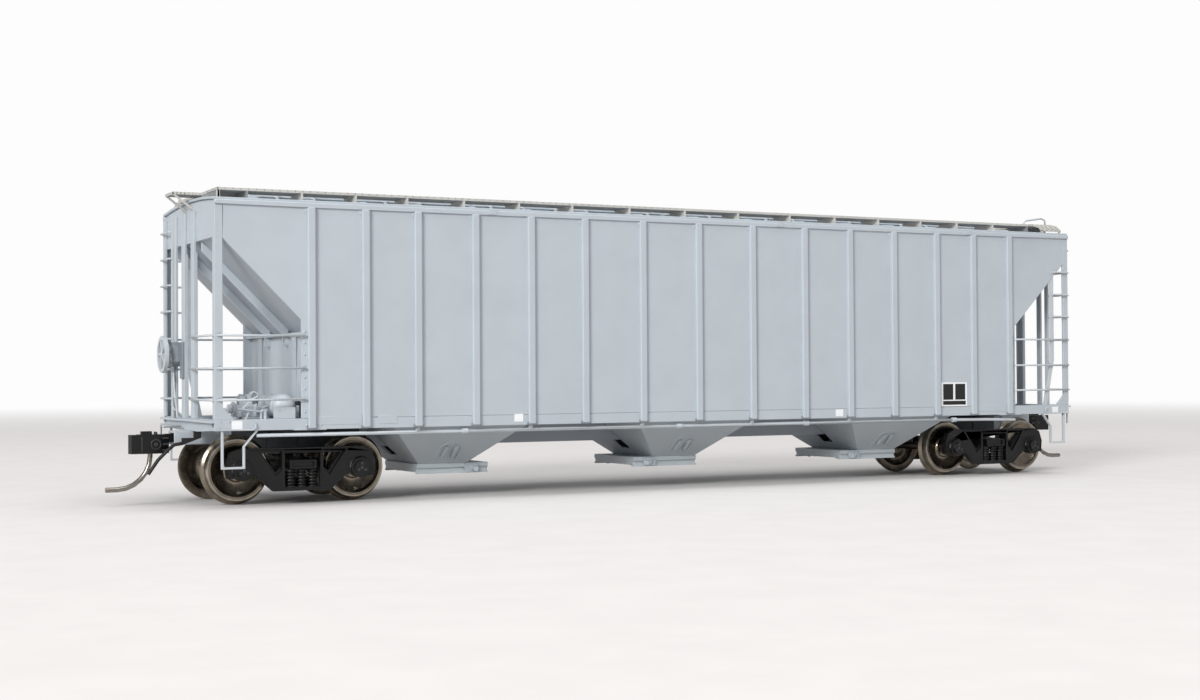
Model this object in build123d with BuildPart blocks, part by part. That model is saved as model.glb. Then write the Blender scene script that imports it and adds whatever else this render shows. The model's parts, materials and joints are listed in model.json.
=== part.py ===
from build123d import *
import os

os.makedirs("parts", exist_ok=True)

# Model covered hopper car, 1:87.1, three hoppers with centre discharge. Millimetres.
# X runs along the car, with the hand-brake end at -X. Z is up from the floor that the flanges stand on.

# Wheels and trucks
flange_depth = 0.64
tread_radius = 5.25
wheel_back = 7.2            # half the distance between the wheels' backs
wheel_width = 2.2
flange_width = 0.75
rim_depth = 0.85            # tread to the inner edge of the rim
plate_recess = 0.55         # wheel plate behind the rim's face
wheelbase = 20.4
truck_inset = 16.15         # truck centre from the corner posts
axle_radius = 0.8
axle_half = 12.6            # half the axle's length
running_gap = 0.06          # round each journal, in its bearing
end_gap = 0.15              # at the axle's ends
wheel_bearing_gap = 1.75    # wheel face to sideframe
frame_thick = 1.55
pocket_deep = 0.45
bearing_radius = 1.75
bearing_proud = 0.5
cap_radius = 1.2
cap_proud = 0.95
spring_radius = 0.85
spring_pitch = 1.9
bolster_wide = 4.6
bolster_recess = 0.4
beam_thick = 0.7
beam_gap = 0.6              # between bolster and brake beam
shoe_gap = 0.2              # brake shoe to tread
spring_depth = 2.95         # spring seat below the axles
window_over = 2.7           # bolster window above the axles
window_half = 3.1
bolster_foot = 0.1          # bolster's ends, from here above the axles
bolster_end = 1.55
bolster_rise = 1.9          # its middle
bolster_belly = 0.7         # its middle, below the axles
bolster_slot = (1.9, 0.4, 1.3)          # half-width, foot and head above the axles
# Sideframe beyond the wheels' centres: (along, above the axles) of its outer edge, and of its lower edge
frame_nose = ((2.5, -1.3), (2.7, 1.0), (2.0, 3.0), (0.4, 3.65))
frame_foot = ((1.6, -1.3), (1.6, 0.3), (-1.6, 0.3), (-1.7, -0.9), (-2.6, -1.2), (-5.3, -3.6))
# Openings between window and bearings, and the shallow pockets round them, from the window's side
frame_opening = ((0.5, 0.45), (0.5, 2.75), (3.8, 2.75), (1.5, -0.45))
frame_pocket = ((0.5, -0.2), (0.5, 3.2), (4.6, 3.2), (1.65, -1.1))

# Car body
half_length = 91.0          # over the corner posts
side_y = 17.4               # outer face of the side sheets
sheet = 0.6                 # side, slope and end sheets
sill_rise = 12.03           # side sill above the rail head
sill_depth = 1.82
sill_flange = 2.0
plate_rise = 48.8           # side plate above the rail head
plate_depth = 0.8
plate_proud = 0.35
roof_thick = 0.4
roof_crown = 0.9
bay_depth = 14.5            # open bay beyond the side sheet's lower part
slope_foot_rise = 1.95      # slope sheet's foot above the side sill
slope_drop = 5.45           # slope sheet's top below the side plate
post_width = 1.3
post_proud = 0.6
post_inset = 1.7            # last side post from the end bay
post_steps = (9.5, 9.4, 10.7, 10.7)     # side posts, from the last one inwards
corner_leg = 1.35
corner_thick = 0.45
gusset_size = 2.0
centre_post_in = 2.1
centre_post_out = 4.2
centre_post_deep = 0.7
odd_post_y = 8.9            # the single post on the ladder's half of each end
odd_post_width = 1.2
bulkhead_inset = 16.0       # bulkhead's face from the corner posts
bulkhead_open = 4.57        # its lower edge above the side sill
lip_reach = 1.0
lip_thick = 0.5
stiffener_y = 9.9
stiffener_width = 2.8
stiffener_proud = 0.5
rib_y = 5.3                 # ribs under the slope sheet
rib_deep = 1.75
rib_thick = 0.6
rib_leg = 2.1               # down the bulkhead

# Hoppers and gates
hopper_inset = 43.4         # end hopper's middle from the corner posts
hopper_top = 12.5           # half-length at the sills
outlet_x = 4.6
outlet_y = 8.0
outlet_rise = 5.2
sill_gap = 0.1              # hopper walls to the centre sill
port_drop = 1.64            # opening under the centre sill
gate_depth = 1.8
gate_rim = 0.7
gate_plate = 0.5
gate_lip = 0.3
gate_reach = 8.8            # gate frame's long end, from its hopper's middle
gate_back = 4.9
shaft_size = 0.9
shaft_proud = 0.8
shaft_offset = 1.3          # beyond the gate frame's short end
lug_thick = 0.35
lug_proud = 0.5
lug_pitch = 1.8
lug_low = 1.3               # above the outlet
lug_high = 3.2

# Underframe
centre_sill_half = 1.8
centre_sill_depth = 4.9
centre_plate_over = 2.35    # above the axles
centre_plate_depth = 0.7
centre_plate_radius = 2.3
centre_plate_gap = 0.05
wing_half = 2.0
wing_edge = 0.9
wing_deep = 1.6

# Roof walk and hatches
walk_over = 1.65            # running board above the eaves
walk_thick = 0.45
walk_outer = 12.8
walk_inner = 7.0
walk_inset = 1.7            # from the corner posts
tip_reach = 3.1             # beyond the corner posts
tip_half = 2.55
cross_walk = 5.2            # length of the walk across each end
# Slopes from the walk's edge towards the side sheets: share of the way there, and drop below the walk's top
corner_step = ((0.0, 0.0), (0.38, 0.1), (0.76, 0.6), (1.0, 1.4))
corner_clear = 0.1          # from their outer edge to the side sheets
step_foot = 0.4
bracket_thick = 0.35
seat_gap = 0.03             # bracket feet over the crowned roof
strut_drop = 1.1            # foot of the tip's struts below the eaves
strut_size = 0.5
hatch_half = 4.6
hatch_inset = 11.0
hatch_count = 4
hatch_gap = 0.8
coaming_half = 4.0
coaming_over = 1.6          # above the eaves
cover_edge = 0.35
cover_crown = 0.55

# Couplers and draft boxes
box_inset = 5.0
box_reach = 2.8             # beyond the corner posts
box_half = 2.1
box_rise = 9.4
box_depth = 2.3
box_wall = 0.35
pivot_inset = 3.4
pivot_radius = 0.5
coupler_gap = 0.1
shank_half = 0.6
eye_radius = 1.0
head_reach = 3.4            # start of the head beyond the corner posts
head_rise = 8.0
head_depth = 3.18
head_lug = 0.6
head_outline = (            # outward from the head's start, across to the knuckle's side
    (0.0, -0.9), (1.6, -1.9), (4.8, -2.3), (4.4, -1.5), (2.7, -1.1), (2.5, 0.4), (5.1, 0.9), (5.3, -0.3),
    (6.4, -0.5), (6.7, 0.4), (6.4, 1.6), (2.2, 1.8), (0.8, 1.3), (0.0, 0.9),
)
lug_along = (3.0, 4.8)      # lug on the knuckle, from the head's start
lug_across = (0.8, 1.6)
pin_reach = 6.5             # trip pin's drop beyond the corner posts
pin_across = 0.6
pin_straight = 0.4
pin_bend = 5.5
pin_tail = 1.9
pin_size = 0.84
pin_runs = 6                # straight runs round the bend

# Ladders, grab irons and steps
wire_size = 0.38
grab_stand = 0.5            # how far a grab iron stands off its posts
grab_steps = (3.2, 8.35, 13.7)          # above the side sill
rung_drops = (16.4, 11.8, 7.1, 2.4)     # below the side plate
grab_inset = 15.0           # grab iron's inner end from the corner posts
grab_end = 0.5              # its outer end
stile_inset = 4.4
stile_lean = 2.0            # the stile's foot, further inboard
stile_bend = 9.5            # above the side sill
stile_size = 0.9
stile_thick = 0.4
end_stile_y = 11.2
step_inset = 1.1
step_wide = 3.9
step_drop = 6.2             # stirrup's tread below the side sill
step_bend = 2.6
step_lean = 2.2
strap = 0.35
strap_wide = 0.6
corner_grab = ((0.0, 0.0), (0.1, 1.0), (1.1, 1.35), (5.4, 0.75), (6.1, 0.0))     # from the walk's end, up

# Hand brake, air brake and platform
platform_reach = 0.65
platform_thick = 0.4
platform_drop = 0.15
end_sill_thick = 1.2
end_sill_notch = 6.3        # half the width of its deeper middle
brake_wheel_y = 6.3
brake_wheel_over = 10.9     # above the side sill
brake_wheel_reach = 3.0
brake_wheel_radius = 3.2
brake_rim = 0.32
spoke_count = 5
housing_wide = 4.6
housing_high = 4.2
housing_deep = 1.5
housing_corner = 0.8
reservoir_inset = 12.3
reservoir_near = 16.0
reservoir_far = 5.0
reservoir_radius = 1.95
reservoir_over = 0.2        # its lowest line above the side sill
saddle_reach = 2.5          # saddles past the reservoir's middle
saddle_lean = 1.25
shelf_thick = 0.3
shelf_inset = 5.0
valve_y = 13.1
valve_size = 2.4
train_line_inset = 7.0      # its end from the corner posts
train_line_drop = 0.83      # below the side sill
train_line_y = 17.0
train_line_size = 0.6
collar_size = 1.0
hanger_size = 0.6
lever_reach = 0.8
lever_rise = 12.4
lever_inset = 1.4           # handle from the side
lever_handle = 2.5
hose_y = 4.0
hose_size = 0.6
hose_route = ((2.0, 9.7), (3.3, 9.5), (4.4, 8.6), (6.0, 7.0), (7.6, 4.7))     # from the posts, above rail

# Worked out from the sizes above
rail = flange_depth
axle_z = tread_radius + flange_depth
truck_centre = half_length - truck_inset
half_base = wheelbase / 2
frame_in = wheel_back + wheel_width + wheel_bearing_gap
frame_out = frame_in + frame_thick
sill_low = rail + sill_rise
sill_high = sill_low + sill_depth
plate_low = rail + plate_rise
plate_high = plate_low + plate_depth
eave = plate_high + roof_thick
inner_y = side_y - sheet
flange_y = side_y - sill_flange
end_edge = half_length - corner_leg
end_sheet_out = half_length - corner_thick
end_sheet_in = end_sheet_out - sheet
bay_x = half_length - bay_depth
bulkhead_x = half_length - bulkhead_inset
hopper_pitch = half_length - hopper_inset
hopper_edge = hopper_pitch + hopper_top
slope_foot = sill_low + slope_foot_rise
slope_rate = (plate_low - slope_drop - slope_foot) / (end_edge - hopper_edge)
slope_high = slope_foot + slope_rate * (end_sheet_in - hopper_edge)
outlet_z = rail + outlet_rise
gate_z = outlet_z - gate_depth
end_slope = (sill_low - outlet_z) / (hopper_top - outlet_x)
side_slope = (inner_y - outlet_y) / (sill_low - outlet_z)
centre_plate_z = axle_z + centre_plate_over
centre_sill_low = centre_plate_z + centre_plate_depth
centre_sill_top = centre_sill_low + centre_sill_depth
walk_low = eave + walk_over
walk_top = walk_low + walk_thick
walk_end = half_length - walk_inset
walk_tip = half_length + tip_reach
hatch_end = half_length - hatch_inset
coaming_top = eave + coaming_over
box_low = rail + box_rise
box_high = box_low + box_depth
box_in = half_length - box_inset
platform_top = sill_high - platform_drop
last_post = bay_x - post_inset
side_posts = [0.0, hopper_pitch / 4, hopper_pitch / 2]
side_posts += [last_post - sum(post_steps[:count]) for count in range(len(post_steps) + 1)]
post_places = sorted({way * place for place in side_posts for way in (-1, 1)})
ends = (("b", -1), ("a", 1))
sides = (("near", -1), ("far", 1))
side_plane = Plane.XZ       # its normal is -Y
end_plane = Plane.YZ        # its normal is +X


def save(piece, name):
    """Label a finished piece and write it."""
    piece.part.label = name
    export_step(piece.part, f"parts/{name}.step")


def block(x_range, y_range, z_range, mode=Mode.ADD):
    """A plain plate or bar between two limits on each axis."""
    size = [abs(r[1] - r[0]) for r in (x_range, y_range, z_range)]
    middle = [(r[1] + r[0]) / 2 for r in (x_range, y_range, z_range)]
    with Locations(tuple(middle)):
        Box(*size, mode=mode)


def outline(points, plane, depth, both=False, mode=Mode.ADD):
    """A flat outline, extruded from its plane."""
    with BuildSketch(plane) as face:
        with BuildLine():
            Polyline(*points, close=True)
        make_face()
    extrude(face.sketch, amount=depth, both=both, mode=mode)


def wire(points, size):
    """A six-sided wire, bent square at each point."""
    with BuildLine() as route:
        Polyline(*points)
    with BuildSketch(Plane(origin=route.line @ 0, z_dir=route.line % 0)) as section:
        RegularPolygon(size / 2, 6)
    sweep(section.sketch, path=route.line, transition=Transition.RIGHT)


def clear_sills():
    """Room for the centre sill and the side sills' lower flanges."""
    through = (-half_length, half_length)
    block(through, (-centre_sill_half, centre_sill_half), (sill_low, centre_sill_top), mode=Mode.SUBTRACT)
    for side, across in sides:
        flange = (across * inner_y, across * flange_y)
        block(through, flange, (sill_low, sill_low + sheet), mode=Mode.SUBTRACT)


def crown(y):
    """Height of the roof's crown over the eaves, at one place across the car."""
    radius = (side_y ** 2 + roof_crown ** 2) / (2 * roof_crown)
    return roof_crown - radius + (radius ** 2 - y ** 2) ** 0.5


def slope_under(x):
    """Underside of the slope sheet at one place along the car."""
    return slope_foot + slope_rate * (x - hopper_edge)


# Side sheets with their posts and side plates
for side, across in sides:
    with BuildPart() as side_sheet:
        skin = (
            (-bay_x, sill_high), (bay_x, sill_high), (bay_x, slope_under(bay_x)),
            (end_edge, slope_under(end_edge)), (end_edge, plate_low), (-end_edge, plate_low),
            (-end_edge, slope_under(end_edge)), (-bay_x, slope_under(bay_x)),
        )
        outline(skin, side_plane.offset(-across * inner_y), -across * sheet)
        for x in post_places:
            block((x - post_width / 2, x + post_width / 2), (across * side_y, across * (side_y + post_proud)),
                  (sill_low, plate_low))
        block((-half_length, half_length), (across * inner_y, across * (side_y + plate_proud)),
              (plate_low, plate_high))
    save(side_sheet, f"side_{side}")

# Side sills, an angle along the foot of each side
with BuildPart() as side_sills:
    for side, across in sides:
        angle = (
            (across * side_y, sill_low), (across * side_y, sill_high), (across * inner_y, sill_high),
            (across * inner_y, sill_low + sheet), (across * flange_y, sill_low + sheet),
            (across * flange_y, sill_low),
        )
        outline(angle, end_plane, half_length, both=True)
save(side_sills, "side_sills")

# Roof sheet, crowned across the car
with BuildPart() as roof:
    with BuildSketch(end_plane.offset(-half_length)):
        with BuildLine():
            ThreePointArc((-side_y, eave), (0, eave + roof_crown), (side_y, eave))
            Line((side_y, eave), (side_y, plate_high))
            ThreePointArc((side_y, plate_high), (0, plate_high + roof_crown), (-side_y, plate_high))
            Line((-side_y, plate_high), (-side_y, eave))
        make_face()
    extrude(amount=2 * half_length)
    block((-hatch_end, hatch_end), (-coaming_half, coaming_half), (plate_high, eave + 2 * roof_crown),
          mode=Mode.SUBTRACT)
save(roof, "roof")

# Hatch coaming and its long covers
with BuildPart() as coaming:
    coaming_low = plate_high + crown(coaming_half)
    block((-hatch_end, hatch_end), (-coaming_half, coaming_half), (coaming_low, coaming_top))
    block((-hatch_end + sheet, hatch_end - sheet), (-coaming_half + sheet, coaming_half - sheet),
          (coaming_low, coaming_top), mode=Mode.SUBTRACT)
save(coaming, "hatch_coaming")

cover_length = (2 * hatch_end - (hatch_count - 1) * hatch_gap) / hatch_count
cover_low = coaming_top
cover_rim = cover_low + cover_edge
with BuildPart() as covers:
    for number in range(hatch_count):
        start = -hatch_end + number * (cover_length + hatch_gap)
        with BuildSketch(end_plane.offset(start)):
            with BuildLine():
                ThreePointArc((-hatch_half, cover_rim), (0, cover_rim + cover_crown), (hatch_half, cover_rim))
                Polyline((hatch_half, cover_rim), (hatch_half, cover_low), (-hatch_half, cover_low),
                         (-hatch_half, cover_rim))
            make_face()
        extrude(amount=cover_length)
save(covers, "hatch_covers")

# Running boards on brackets, with the walks across the ends and their tips
corner_reach = side_y - corner_clear - walk_outer
with BuildPart() as walks:
    for side, across in sides:
        block((-walk_end, walk_end), (across * walk_inner, across * walk_outer), (walk_low, walk_top))
        bracket = (
            (across * walk_inner, walk_low), (across * walk_outer, walk_low),
            (across * walk_outer, eave + crown(walk_outer) + seat_gap),
            (across * walk_inner, eave + crown(walk_inner) + seat_gap),
        )
        for x in post_places:
            outline(bracket, end_plane.offset(x), bracket_thick / 2, both=True)
    for end, sign in ends:
        block((sign * (walk_end - cross_walk), sign * walk_end), (-walk_outer, walk_outer),
              (walk_low, walk_top))
        block((sign * walk_end, sign * walk_tip), (-tip_half, tip_half), (walk_low, walk_top))
        strut = (
            (sign * walk_tip, walk_low), (sign * (walk_tip - strut_size), walk_low),
            (sign * end_sheet_out, eave - strut_drop + strut_size), (sign * end_sheet_out, eave - strut_drop),
        )
        for y in (-tip_half + bracket_thick / 2, tip_half - bracket_thick / 2):
            outline(strut, side_plane.offset(-y), bracket_thick / 2, both=True)
        for side, across in sides:
            block((sign * (walk_end - strut_size), sign * walk_end),
                  (across * (walk_outer - strut_size), across * walk_outer),
                  (eave + crown(walk_outer - strut_size), walk_low))
        across = -sign
        ramp = [(across * (walk_outer + share * corner_reach), walk_top - down)
                for share, down in corner_step]
        ramp += [(y, z - walk_thick) for y, z in reversed(ramp)]
        outline(ramp, end_plane.offset(sign * walk_end), -sign * cross_walk)
        foot_y = walk_outer + corner_reach - step_foot
        for x in (walk_end - step_foot, walk_end - cross_walk):
            block((sign * x, sign * (x + step_foot)), (across * foot_y, across * (foot_y + step_foot)),
                  (eave + crown(foot_y), walk_top - corner_step[-1][1] - walk_thick / 2))
save(walks, "running_boards")

# End sheets above the slopes, crowned with the roof
with BuildPart() as end_sheets:
    for end, sign in ends:
        post_y = side_y - corner_thick
        crest = plate_high + crown(0) - crown(inner_y)
        with BuildSketch(end_plane.offset(sign * end_sheet_in)):
            with BuildLine():
                Polyline((-inner_y, plate_high), (-inner_y, plate_low), (-post_y, plate_low),
                         (-post_y, slope_high), (post_y, slope_high), (post_y, plate_low),
                         (inner_y, plate_low), (inner_y, plate_high))
                ThreePointArc((inner_y, plate_high), (0, crest), (-inner_y, plate_high))
            make_face()
        extrude(amount=sign * sheet)
save(end_sheets, "end_sheets")

# Slope sheets from the end hoppers up to the end sheets, each with a short apron at its foot
slope_rise = sheet * (1 + slope_rate ** 2) ** 0.5
with BuildPart() as slopes:
    for end, sign in ends:
        run = (
            (sign * hopper_edge, sill_low), (sign * hopper_edge, slope_foot),
            (sign * end_sheet_in, slope_high), (sign * end_sheet_in, slope_high + slope_rise),
            (sign * (hopper_edge - sheet), slope_under(hopper_edge - sheet) + slope_rise),
            (sign * (hopper_edge - sheet), sill_low),
        )
        outline(run, side_plane, inner_y, both=True)
    clear_sills()
save(slopes, "slope_sheets")

# Bulkheads under the slopes, open at the foot over the trucks, with the slopes' ribs
bulkhead_low = sill_low + bulkhead_open
bulkhead_top = slope_under(bulkhead_x - sheet)
with BuildPart() as bulkheads:
    for end, sign in ends:
        block((sign * bulkhead_x, sign * (bulkhead_x - sheet)), (-inner_y, inner_y),
              (bulkhead_low, bulkhead_top))
        block((sign * bulkhead_x, sign * (bulkhead_x + lip_reach)), (-inner_y, inner_y),
              (bulkhead_top - lip_thick, bulkhead_top))
        rib = (
            (sign * bulkhead_x, slope_under(bulkhead_x)), (sign * end_sheet_in, slope_high),
            (sign * end_sheet_in, slope_high - rib_deep),
            (sign * (bulkhead_x + lip_reach), slope_under(bulkhead_x + lip_reach) - rib_deep),
            (sign * (bulkhead_x + lip_reach), bulkhead_top - rib_leg),
            (sign * bulkhead_x, bulkhead_top - rib_leg),
        )
        for side, across in sides:
            outline(rib, side_plane.offset(-across * rib_y), rib_thick / 2, both=True)
            stiffener = [across * (stiffener_y + way * stiffener_width / 2) for way in (-1, 1)]
            block((sign * bulkhead_x, sign * (bulkhead_x + stiffener_proud)), stiffener,
                  (bulkhead_low, bulkhead_top - lip_thick))
save(bulkheads, "bulkheads")

# Ridge sheets between the hoppers
ridge_x = hopper_pitch / 2
ridge_half = ridge_x - hopper_top
ridge_z = sill_low + end_slope * ridge_half
ridge_rise = sheet * (1 + end_slope ** 2) ** 0.5
with BuildPart() as ridges:
    for middle in (-ridge_x, ridge_x):
        vee = (
            (middle - ridge_half, sill_low), (middle, ridge_z), (middle + ridge_half, sill_low),
            (middle + ridge_half, sill_low + ridge_rise), (middle, ridge_z + ridge_rise),
            (middle - ridge_half, sill_low + ridge_rise),
        )
        outline(vee, side_plane, inner_y, both=True)
    clear_sills()
save(ridges, "ridge_sheets")

# Corner posts, and the posts across each end
with BuildPart() as end_posts:
    for end, sign in ends:
        tip = sign * half_length
        for side, across in sides:
            post_in = sign * end_sheet_out
            leg_in = sign * end_edge
            with BuildSketch(Plane.XY.offset(sill_high)):
                with BuildLine():
                    Polyline(
                        (tip, across * side_y), (leg_in, across * side_y),
                        (leg_in, across * (side_y - corner_thick)),
                        (post_in, across * (side_y - corner_thick)),
                        (post_in, across * (side_y - corner_leg)),
                        (tip, across * (side_y - corner_leg)), close=True)
                make_face()
            extrude(amount=plate_low - sill_high)
            gusset = (
                (leg_in, sill_high), (leg_in - sign * gusset_size, sill_high),
                (leg_in, sill_high + gusset_size),
            )
            outline(gusset, side_plane.offset(-across * side_y), across * corner_thick)
            near = across * centre_post_in
            wide = across * centre_post_out
            deep = tip - sign * centre_post_deep
            wall = across * corner_thick
            with BuildSketch(Plane.XY.offset(sill_high)):
                with BuildLine():
                    Polyline(
                        (tip, near), (tip, wide), (deep, wide), (deep, wide - wall), (post_in, wide - wall),
                        (post_in, near + wall), (deep, near + wall), (deep, near), close=True)
                make_face()
            extrude(amount=slope_high - rib_deep - sill_high)
            block((tip, post_in), (near, wide), (slope_high - rib_deep, plate_low))
        odd_post = [-sign * (odd_post_y + way * odd_post_width / 2) for way in (-1, 1)]
        block((tip, sign * end_sheet_out), odd_post, (sill_high, plate_low))
save(end_posts, "end_posts")

# End sills, deeper over the couplers, with the platforms outside them
with BuildPart() as end_sills:
    for end, sign in ends:
        face = (
            (-flange_y, sill_high), (-flange_y, sill_low), (-end_sill_notch, box_high),
            (end_sill_notch, box_high), (flange_y, sill_low), (flange_y, sill_high),
        )
        outline(face, end_plane.offset(sign * half_length), -sign * end_sill_thick)
        block((sign * half_length, sign * (half_length + platform_reach)), (-side_y, side_y),
              (platform_top - platform_thick, platform_top))
save(end_sills, "end_sills")

# Centre sill, between the draft boxes and through the hoppers
with BuildPart() as centre_sill:
    block((-box_in, box_in), (-centre_sill_half, centre_sill_half), (centre_sill_low, centre_sill_top))
save(centre_sill, "centre_sill")

# Body bolsters, deeper at the centre plate
with BuildPart() as bolsters:
    for end, sign in ends:
        for side, across in sides:
            wing = (
                (across * centre_sill_half, sill_low + wing_edge), (across * flange_y, sill_low + wing_edge),
                (across * flange_y, sill_low), (across * centre_sill_half, sill_low - wing_deep),
            )
            outline(wing, end_plane.offset(sign * truck_centre), wing_half, both=True)
        with BuildSketch(Plane.XY.offset(centre_plate_z)):
            with Locations((sign * truck_centre, 0)):
                RegularPolygon(centre_plate_radius, 16)
        extrude(amount=centre_plate_depth)
save(bolsters, "body_bolsters")

# Hoppers, each a thin funnel with the centre sill through it and a pair of lugs on each side
for number, middle in enumerate((-hopper_pitch, 0.0, hopper_pitch), 1):
    with BuildPart() as hopper:
        for shrink, mode in ((0.0, Mode.ADD), (sheet, Mode.SUBTRACT)):
            top_x = hopper_top - shrink
            top_y = inner_y - shrink
            low_x = outlet_x - shrink
            low_y = outlet_y - shrink
            with Locations((middle, 0, (sill_low + outlet_z) / 2)):
                Wedge(2 * top_x, sill_low - outlet_z, 2 * top_y, top_x - low_x, top_y - low_y,
                      top_x + low_x, top_y + low_y, rotation=(-90, 0, 0), mode=mode)
        port = centre_sill_half + sill_gap
        block((middle - hopper_top, middle + hopper_top), (-port, port),
              (centre_sill_low - port_drop, sill_low), mode=Mode.SUBTRACT)
        steep = (1 + side_slope ** 2) ** 0.5
        for side, across in sides:
            foot_y = outlet_y + side_slope * lug_low
            head_y = outlet_y + side_slope * lug_high
            out_y = lug_proud / steep
            drop = lug_proud * side_slope / steep
            lug = (
                (across * foot_y, outlet_z + lug_low), (across * head_y, outlet_z + lug_high),
                (across * (head_y + out_y), outlet_z + lug_high - drop),
                (across * (foot_y + out_y), outlet_z + lug_low - drop),
            )
            for x in (middle - lug_pitch / 2, middle + lug_pitch / 2):
                outline(lug, end_plane.offset(x), lug_thick / 2, both=True)
    save(hopper, f"hopper_{number}")

# Discharge gates under the hoppers: channel sides, cross bars and the operating shaft
plate_under = outlet_z - gate_plate
gate_table = ((1, -hopper_pitch, 1), (2, 0.0, -1), (3, hopper_pitch, -1))   # number, place, long end
for number, middle, way in gate_table:
    short_end = middle - way * gate_back
    long_end = middle + way * gate_reach
    with BuildPart() as gate:
        block((short_end, long_end), (-outlet_y, outlet_y), (plate_under, outlet_z))
        for side, across in sides:
            channel = (
                (across * outlet_y, plate_under), (across * outlet_y, plate_under - gate_lip),
                (across * (outlet_y - gate_rim / 2), plate_under - gate_lip),
                (across * (outlet_y - gate_rim / 2), gate_z + gate_lip),
                (across * outlet_y, gate_z + gate_lip), (across * outlet_y, gate_z),
                (across * (outlet_y - gate_rim), gate_z), (across * (outlet_y - gate_rim), plate_under),
            )
            outline(channel, end_plane.offset(short_end), long_end - short_end)
        for x in (short_end, middle + way * (gate_back - gate_rim), long_end - way * gate_plate):
            block((x, x + way * gate_plate), (-outlet_y + gate_rim, outlet_y - gate_rim),
                  (gate_z + gate_lip, plate_under))
        shaft_end = outlet_y + shaft_proud
        with BuildSketch(side_plane.offset(-shaft_end)):
            with Locations((middle + way * (gate_back + shaft_offset), (gate_z + plate_under) / 2)):
                RegularPolygon(shaft_size / 2, 6)
        extrude(amount=2 * shaft_end)
    save(gate, f"gate_{number}")

# Ladders at two corners: a stile beside each corner post, with rungs across
stile_x = half_length - stile_inset
grab_out = half_length - grab_end
step_z = [sill_high + step for step in grab_steps]
rung_z = [plate_low - drop for drop in rung_drops]
with BuildPart() as ladders:
    for end, sign in ends:
        across = -sign
        low_in = stile_x - stile_size / 2
        low_out = stile_x + stile_size / 2
        bend_z = sill_high + stile_bend
        stile = (
            (sign * (low_in - stile_lean), sill_high), (sign * (low_out - stile_lean), sill_high),
            (sign * low_out, bend_z), (sign * low_out, slope_under(low_out)),
            (sign * low_in, slope_under(low_in)), (sign * low_in, bend_z),
        )
        outline(stile, side_plane.offset(-across * side_y), across * stile_thick)
        stand = across * (side_y + grab_stand)
        for z in rung_z[:-1]:
            wire(((sign * stile_x, across * side_y, z), (sign * stile_x, stand, z),
                  (sign * grab_out, stand, z), (sign * grab_out, across * side_y, z)), wire_size)
        block((sign * half_length, sign * end_sheet_out),
              (across * (end_stile_y - stile_size / 2), across * (end_stile_y + stile_size / 2)),
              (sill_high, plate_low))
        for z in step_z + rung_z:
            wire(((sign * half_length, across * end_stile_y, z),
                  (sign * (half_length + grab_stand), across * end_stile_y, z),
                  (sign * (half_length + grab_stand), across * (side_y - grab_end), z),
                  (sign * half_length, across * (side_y - grab_end), z)), wire_size)
save(ladders, "ladders")

# Grab irons along the sides of the end bays, across the ends and on the walks at the ladder corners
grab_in = half_length - grab_inset
with BuildPart() as grabs:
    for end, sign in ends:
        for side, across in sides:
            stand = across * (side_y + grab_stand)
            for z in step_z:
                wire(((sign * grab_in, across * side_y, z), (sign * grab_in, stand, z),
                      (sign * grab_out, stand, z), (sign * grab_out, across * side_y, z)), wire_size)
        across = sign
        for z in step_z:
            wire(((sign * half_length, across * (centre_post_out - grab_end), z),
                  (sign * (half_length + grab_stand), across * (centre_post_out - grab_end), z),
                  (sign * (half_length + grab_stand), across * (side_y - grab_end), z),
                  (sign * half_length, across * (side_y - grab_end), z)), wire_size)
        grab_y = -sign * (walk_outer - wire_size / 2)
        wire([(sign * (walk_end - back), grab_y, walk_top + up) for back, up in corner_grab], wire_size)
save(grabs, "grab_irons")

# Stirrup steps under the corners
step_out = half_length - step_inset
step_in = step_out - step_wide
tread_z = sill_low - step_drop
bend_low = sill_low - step_bend
with BuildPart() as steps:
    for end, sign in ends:
        for side, across in sides:
            bend = (
                (sign * step_out, sill_low), (sign * step_out, tread_z), (sign * step_in, tread_z),
                (sign * step_in, bend_low), (sign * (step_in - step_lean), sill_low),
                (sign * (step_in - step_lean + strap), sill_low), (sign * (step_in + strap), bend_low),
                (sign * (step_in + strap), tread_z + strap), (sign * (step_out - strap), tread_z + strap),
                (sign * (step_out - strap), sill_low),
            )
            outline(bend, side_plane.offset(-across * side_y), across * strap_wide)
save(steps, "stirrup_steps")

# Draft boxes, open at the face, each with its pivot post
box_face = half_length + box_reach
coupler_pivot = half_length - pivot_inset
with BuildPart() as draft_boxes:
    for end, sign in ends:
        block((sign * box_in, sign * box_face), (-box_half, box_half), (box_low, box_high))
        block((sign * (box_in + box_wall), sign * (box_face + box_wall)),
              (-box_half + box_wall, box_half - box_wall), (box_low + box_wall, box_high - box_wall),
              mode=Mode.SUBTRACT)
        with BuildSketch(Plane.XY.offset(box_low)):
            with Locations((sign * coupler_pivot, 0)):
                RegularPolygon(pivot_radius, 8)
        extrude(amount=box_depth)
save(draft_boxes, "draft_boxes")

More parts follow.
